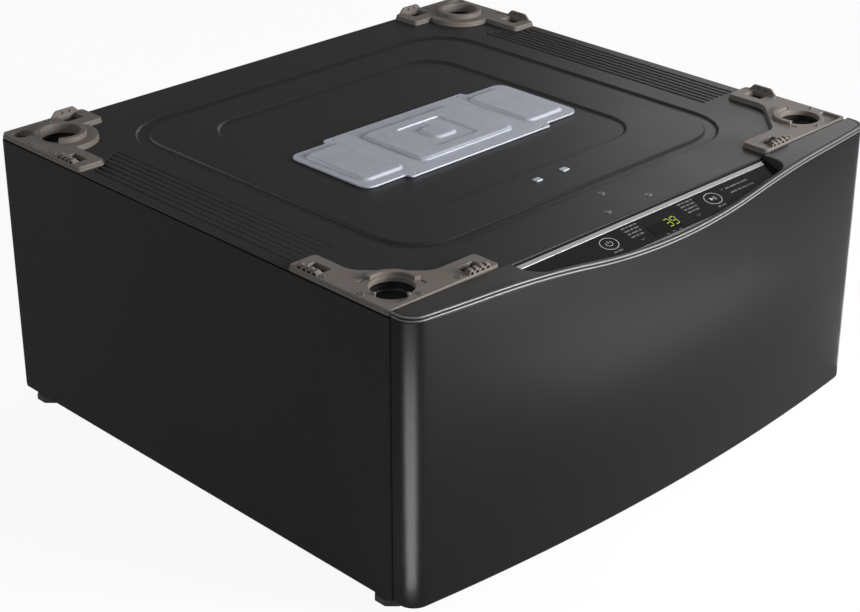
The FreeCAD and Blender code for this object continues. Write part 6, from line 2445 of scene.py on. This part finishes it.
@dataclass
class Feet:
    """Levelling feet: rounded eight-sided pads with threaded studs, and their lock nuts."""

    pad_height: float = 7.0 * MM
    pad_corner: float = 3.0 * MM
    pad_edge: float = 1.6 * MM
    stud_sunk: float = 0.5 * MM
    stud_radius: float = 5.0 * MM
    pitch: float = 1.5 * MM
    thread: float = 0.7 * MM
    tip: float = 1.0 * MM

    def foot(self, body: Body) -> None:
        """Make one foot.

        Args:
            body: Its body, which is named as its CAD node.
        """
        name = body.value
        low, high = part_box(name)
        middle = (low + high) / 2
        radius = (high.x - low.x) / 2 / math.cos(math.radians(22.5))
        corners = [math.radians(22.5 + 45 * i) for i in range(8)]
        outline = rounded([(middle.x + radius * math.cos(a), middle.y + radius * math.sin(a), self.pad_corner)
                           for a in corners], 3)
        pad = plate("pad", [Loop(outline, self.pad_edge)], low.z, low.z + self.pad_height)
        z = low.z + self.pad_height - self.stud_sunk
        profile = [(0.0, z), (self.stud_radius, z)]
        while z + self.pitch < high.z - self.tip:
            profile += [(self.stud_radius - self.thread, z + self.pitch / 2), (self.stud_radius, z + self.pitch)]
            z += self.pitch
        profile += [(self.stud_radius - self.tip, high.z), (0.0, high.z)]
        stud = turned("stud", profile, Vector((middle.x, middle.y, 0)), 20)
        hand_over(joined(name + "_piece", [pad, stud]), Finishes.FOOT, body, "foot_black", name)

    def build(self) -> None:
        """Make the four feet and dress the nuts."""
        for body in (Body.FOOT_FRONT_LEFT, Body.FOOT_FRONT_RIGHT, Body.FOOT_REAR_LEFT, Body.FOOT_REAR_RIGHT):
            self.foot(body)
        dress_node("foot_lock_nuts", Finishes.SCREW)


@dataclass(frozen=True)
class Lamp:
    """One soft lamp: its place and aim, its two sides, its power in watts, and what it lights.

    A lamp that is not on_matt lights only gloss, and one with a piece named in only lights no other piece.
    """

    name: str
    place: Triple
    sides: Point
    power: float
    towards: Triple = (0.0, 0.0, 0.2)
    on_matt: bool = True
    only: str = ""

    def aim(self) -> Quaternion:
        """Its turn, from where it hangs to where it looks."""
        return (Vector(self.towards) - Vector(self.place)).to_track_quat("-Z", "Y")

    def hang(self) -> None:
        """Add the lamp to the scene, out of the camera's sight."""
        data = bpy.data.lights.new(self.name, "AREA")
        data.shape = "RECTANGLE"
        data.size, data.size_y = self.sides
        data.energy = self.power
        lamp = bpy.data.objects.new(self.name, data)
        lamp.location = self.place
        lamp.rotation_euler = self.aim().to_euler()
        lamp.visible_camera = False
        lamp.visible_diffuse = self.on_matt
        if self.only:
            lit = bpy.data.collections.new(self.name)
            lit.objects.link(bpy.data.objects[self.only])
            lamp.light_linking.receiver_collection = lit
        bpy.context.scene.collection.objects.link(lamp)


@dataclass(frozen=True)
class Card(Lamp):
    """A weakly lit card that lies on the floor, face up, for the gloss of upright sheets."""

    on_matt: bool = False
    turn: float = 0.0

    def aim(self) -> Quaternion:
        """Face up, turned on the floor."""
        return Quaternion((0, 0, 1), math.radians(self.turn)) @ Vector((0, 0, 1)).to_track_quat("-Z", "Y")


@dataclass(frozen=True)
class CardFan:
    """Cards in a row that widen with their distance from an upright corner, for one even streak on it."""

    name: str
    corner: Point
    turn: float
    spread: float
    glow: float
    only: str = "front_skin"
    height: float = 0.004
    first: float = 0.06
    growth: float = 2.05
    count: int = 5

    def cards(self) -> list[Card]:
        """The cards, nearest first, all with the same glow in watts per square metre.

        Returns:
            The cards.
        """
        turn = math.radians(self.turn)
        near, far = 1 / math.sqrt(self.growth), math.sqrt(self.growth)
        row = []
        for i in range(self.count):
            reach = self.first * self.growth ** i
            sides = (reach * self.spread, reach * (far - near))
            out = reach * (far + near) / 2
            place = (self.corner[0] + out * math.sin(turn), self.corner[1] - out * math.cos(turn), self.height)
            power = self.glow * sides[0] * sides[1]
            row.append(Card(f"{self.name}_{i}", place, sides, power, only=self.only, turn=self.turn))
        return row


@dataclass
class Studio:
    """Pale floor, soft lights and the camera at the photograph's angle."""

    eye: Triple = (-1.5364, -1.5585, 1.1875)
    azimuth: float = -44.377
    elevation: float = 26.089
    focal_px: float = 2021.0
    sensor: float = 36.0
    floor_half: float = 14.0
    paper_seen: Triple = (0.97, 0.97, 0.97)
    paper_lit: Triple = (0.34, 0.34, 0.34)
    white_share: float = 0.92
    mirror_share: float = 0.18
    sky: float = 0.18
    lamps: tuple[Lamp, ...] = (
        Lamp("key", (0.7, -1.8, 0.85), (0.7, 0.7), 60.0),
        Lamp("fill", (-3.0, -0.8, 2.0), (2.4, 2.4), 20.0),
        Lamp("rear", (2.4, 1.0, 1.25), (1.2, 0.7), 6.0),
        Lamp("back", (-1.2, 3.2, 1.8), (2.0, 2.0), 24.0),
        Card("glow_card", (0.48, -0.95, 0.004), (0.6, 0.5), 1.5),
    )
    fans: tuple[CardFan, ...] = (
        CardFan("left_card", (-0.362, -0.335), -58.0, 1.15, 29.0),
        CardFan("right_card", (0.362, -0.335), 102.0, 0.6, 10.0),
    )

    def camera(self) -> None:
        """Set the camera."""
        data = bpy.data.cameras.new("camera")
        data.sensor_width = self.sensor
        data.lens = self.focal_px / IMAGE_WIDTH_PX * self.sensor
        data.clip_end = 100.0
        turn, lift = math.radians(self.azimuth), math.radians(self.elevation)
        back = Vector((math.sin(turn) * math.cos(lift), -math.cos(turn) * math.cos(lift), math.sin(lift)))
        right = Vector((math.cos(turn), math.sin(turn), 0.0))
        axes = Matrix((right, back.cross(right), back)).transposed().to_4x4()
        camera = bpy.data.objects.new("camera", data)
        camera.matrix_world = Matrix.Translation(self.eye) @ axes
        bpy.context.scene.collection.objects.link(camera)
        bpy.context.scene.camera = camera

    def floor(self) -> None:
        """Lay the pale floor."""
        h = self.floor_half
        mesh = bpy.data.meshes.new("floor")
        mesh.from_pydata([(-h, -h, 0), (h, -h, 0), (h, h, 0), (-h, h, 0)], [], [(0, 1, 2, 3)])
        floor = make_object("floor", mesh)
        graph = FinishGraph("floor_paper")
        rays = graph.node("ShaderNodeLightPath")
        seen = Val(graph, rays.outputs["Is Camera Ray"])
        mirrored = Val(graph, rays.outputs["Is Glossy Ray"]) + Val(graph, rays.outputs["Is Transmission Ray"])
        paper = graph.node("ShaderNodeBsdfDiffuse", {
            "Color": graph.blend(self.paper_lit, self.paper_seen, seen)})
        white = graph.node("ShaderNodeEmission")
        mix = graph.node("ShaderNodeMixShader", {
            0: (seen + mirrored * self.mirror_share) * self.white_share, 1: paper.outputs[0], 2: white.outputs[0]})
        graph.node("ShaderNodeOutputMaterial", {"Surface": mix.outputs[0]})
        mesh.materials.append(graph.material)

    def light(self) -> None:
        """Set the world and the lamps."""
        world = bpy.data.worlds.new("studio")
        world.use_nodes = True
        background = world.node_tree.nodes["Background"]
        background.inputs["Color"].default_value = (1.0, 1.0, 1.0, 1.0)
        background.inputs["Strength"].default_value = self.sky
        bpy.context.scene.world = world
        for lamp in (*self.lamps, *(card for fan in self.fans for card in fan.cards())):
            lamp.hang()

    def build(self) -> None:
        """Set everything up."""
        bpy.context.scene.view_settings.view_transform = "Standard"
        self.camera()
        self.floor()
        self.light()


def main() -> None:
    """Build the scene piece by piece."""
    logging.basicConfig(level=logging.INFO, format="%(message)s")
    levels = Levels.read()
    TopPanel(levels).build()
    StiffenerPlate(levels).build()
    brackets = Brackets(levels)
    brackets.build()
    TopScrews(brackets).build()
    sheets = CabinetSheets(levels)
    sheets.build()
    RearPorts(sheets).build()
    DrawerFront(levels).build()
    WashUnit().build()
    Suspension().build()
    Services().build()
    Feet().build()
    Studio().build()


if __name__ == "__main__":
    main()
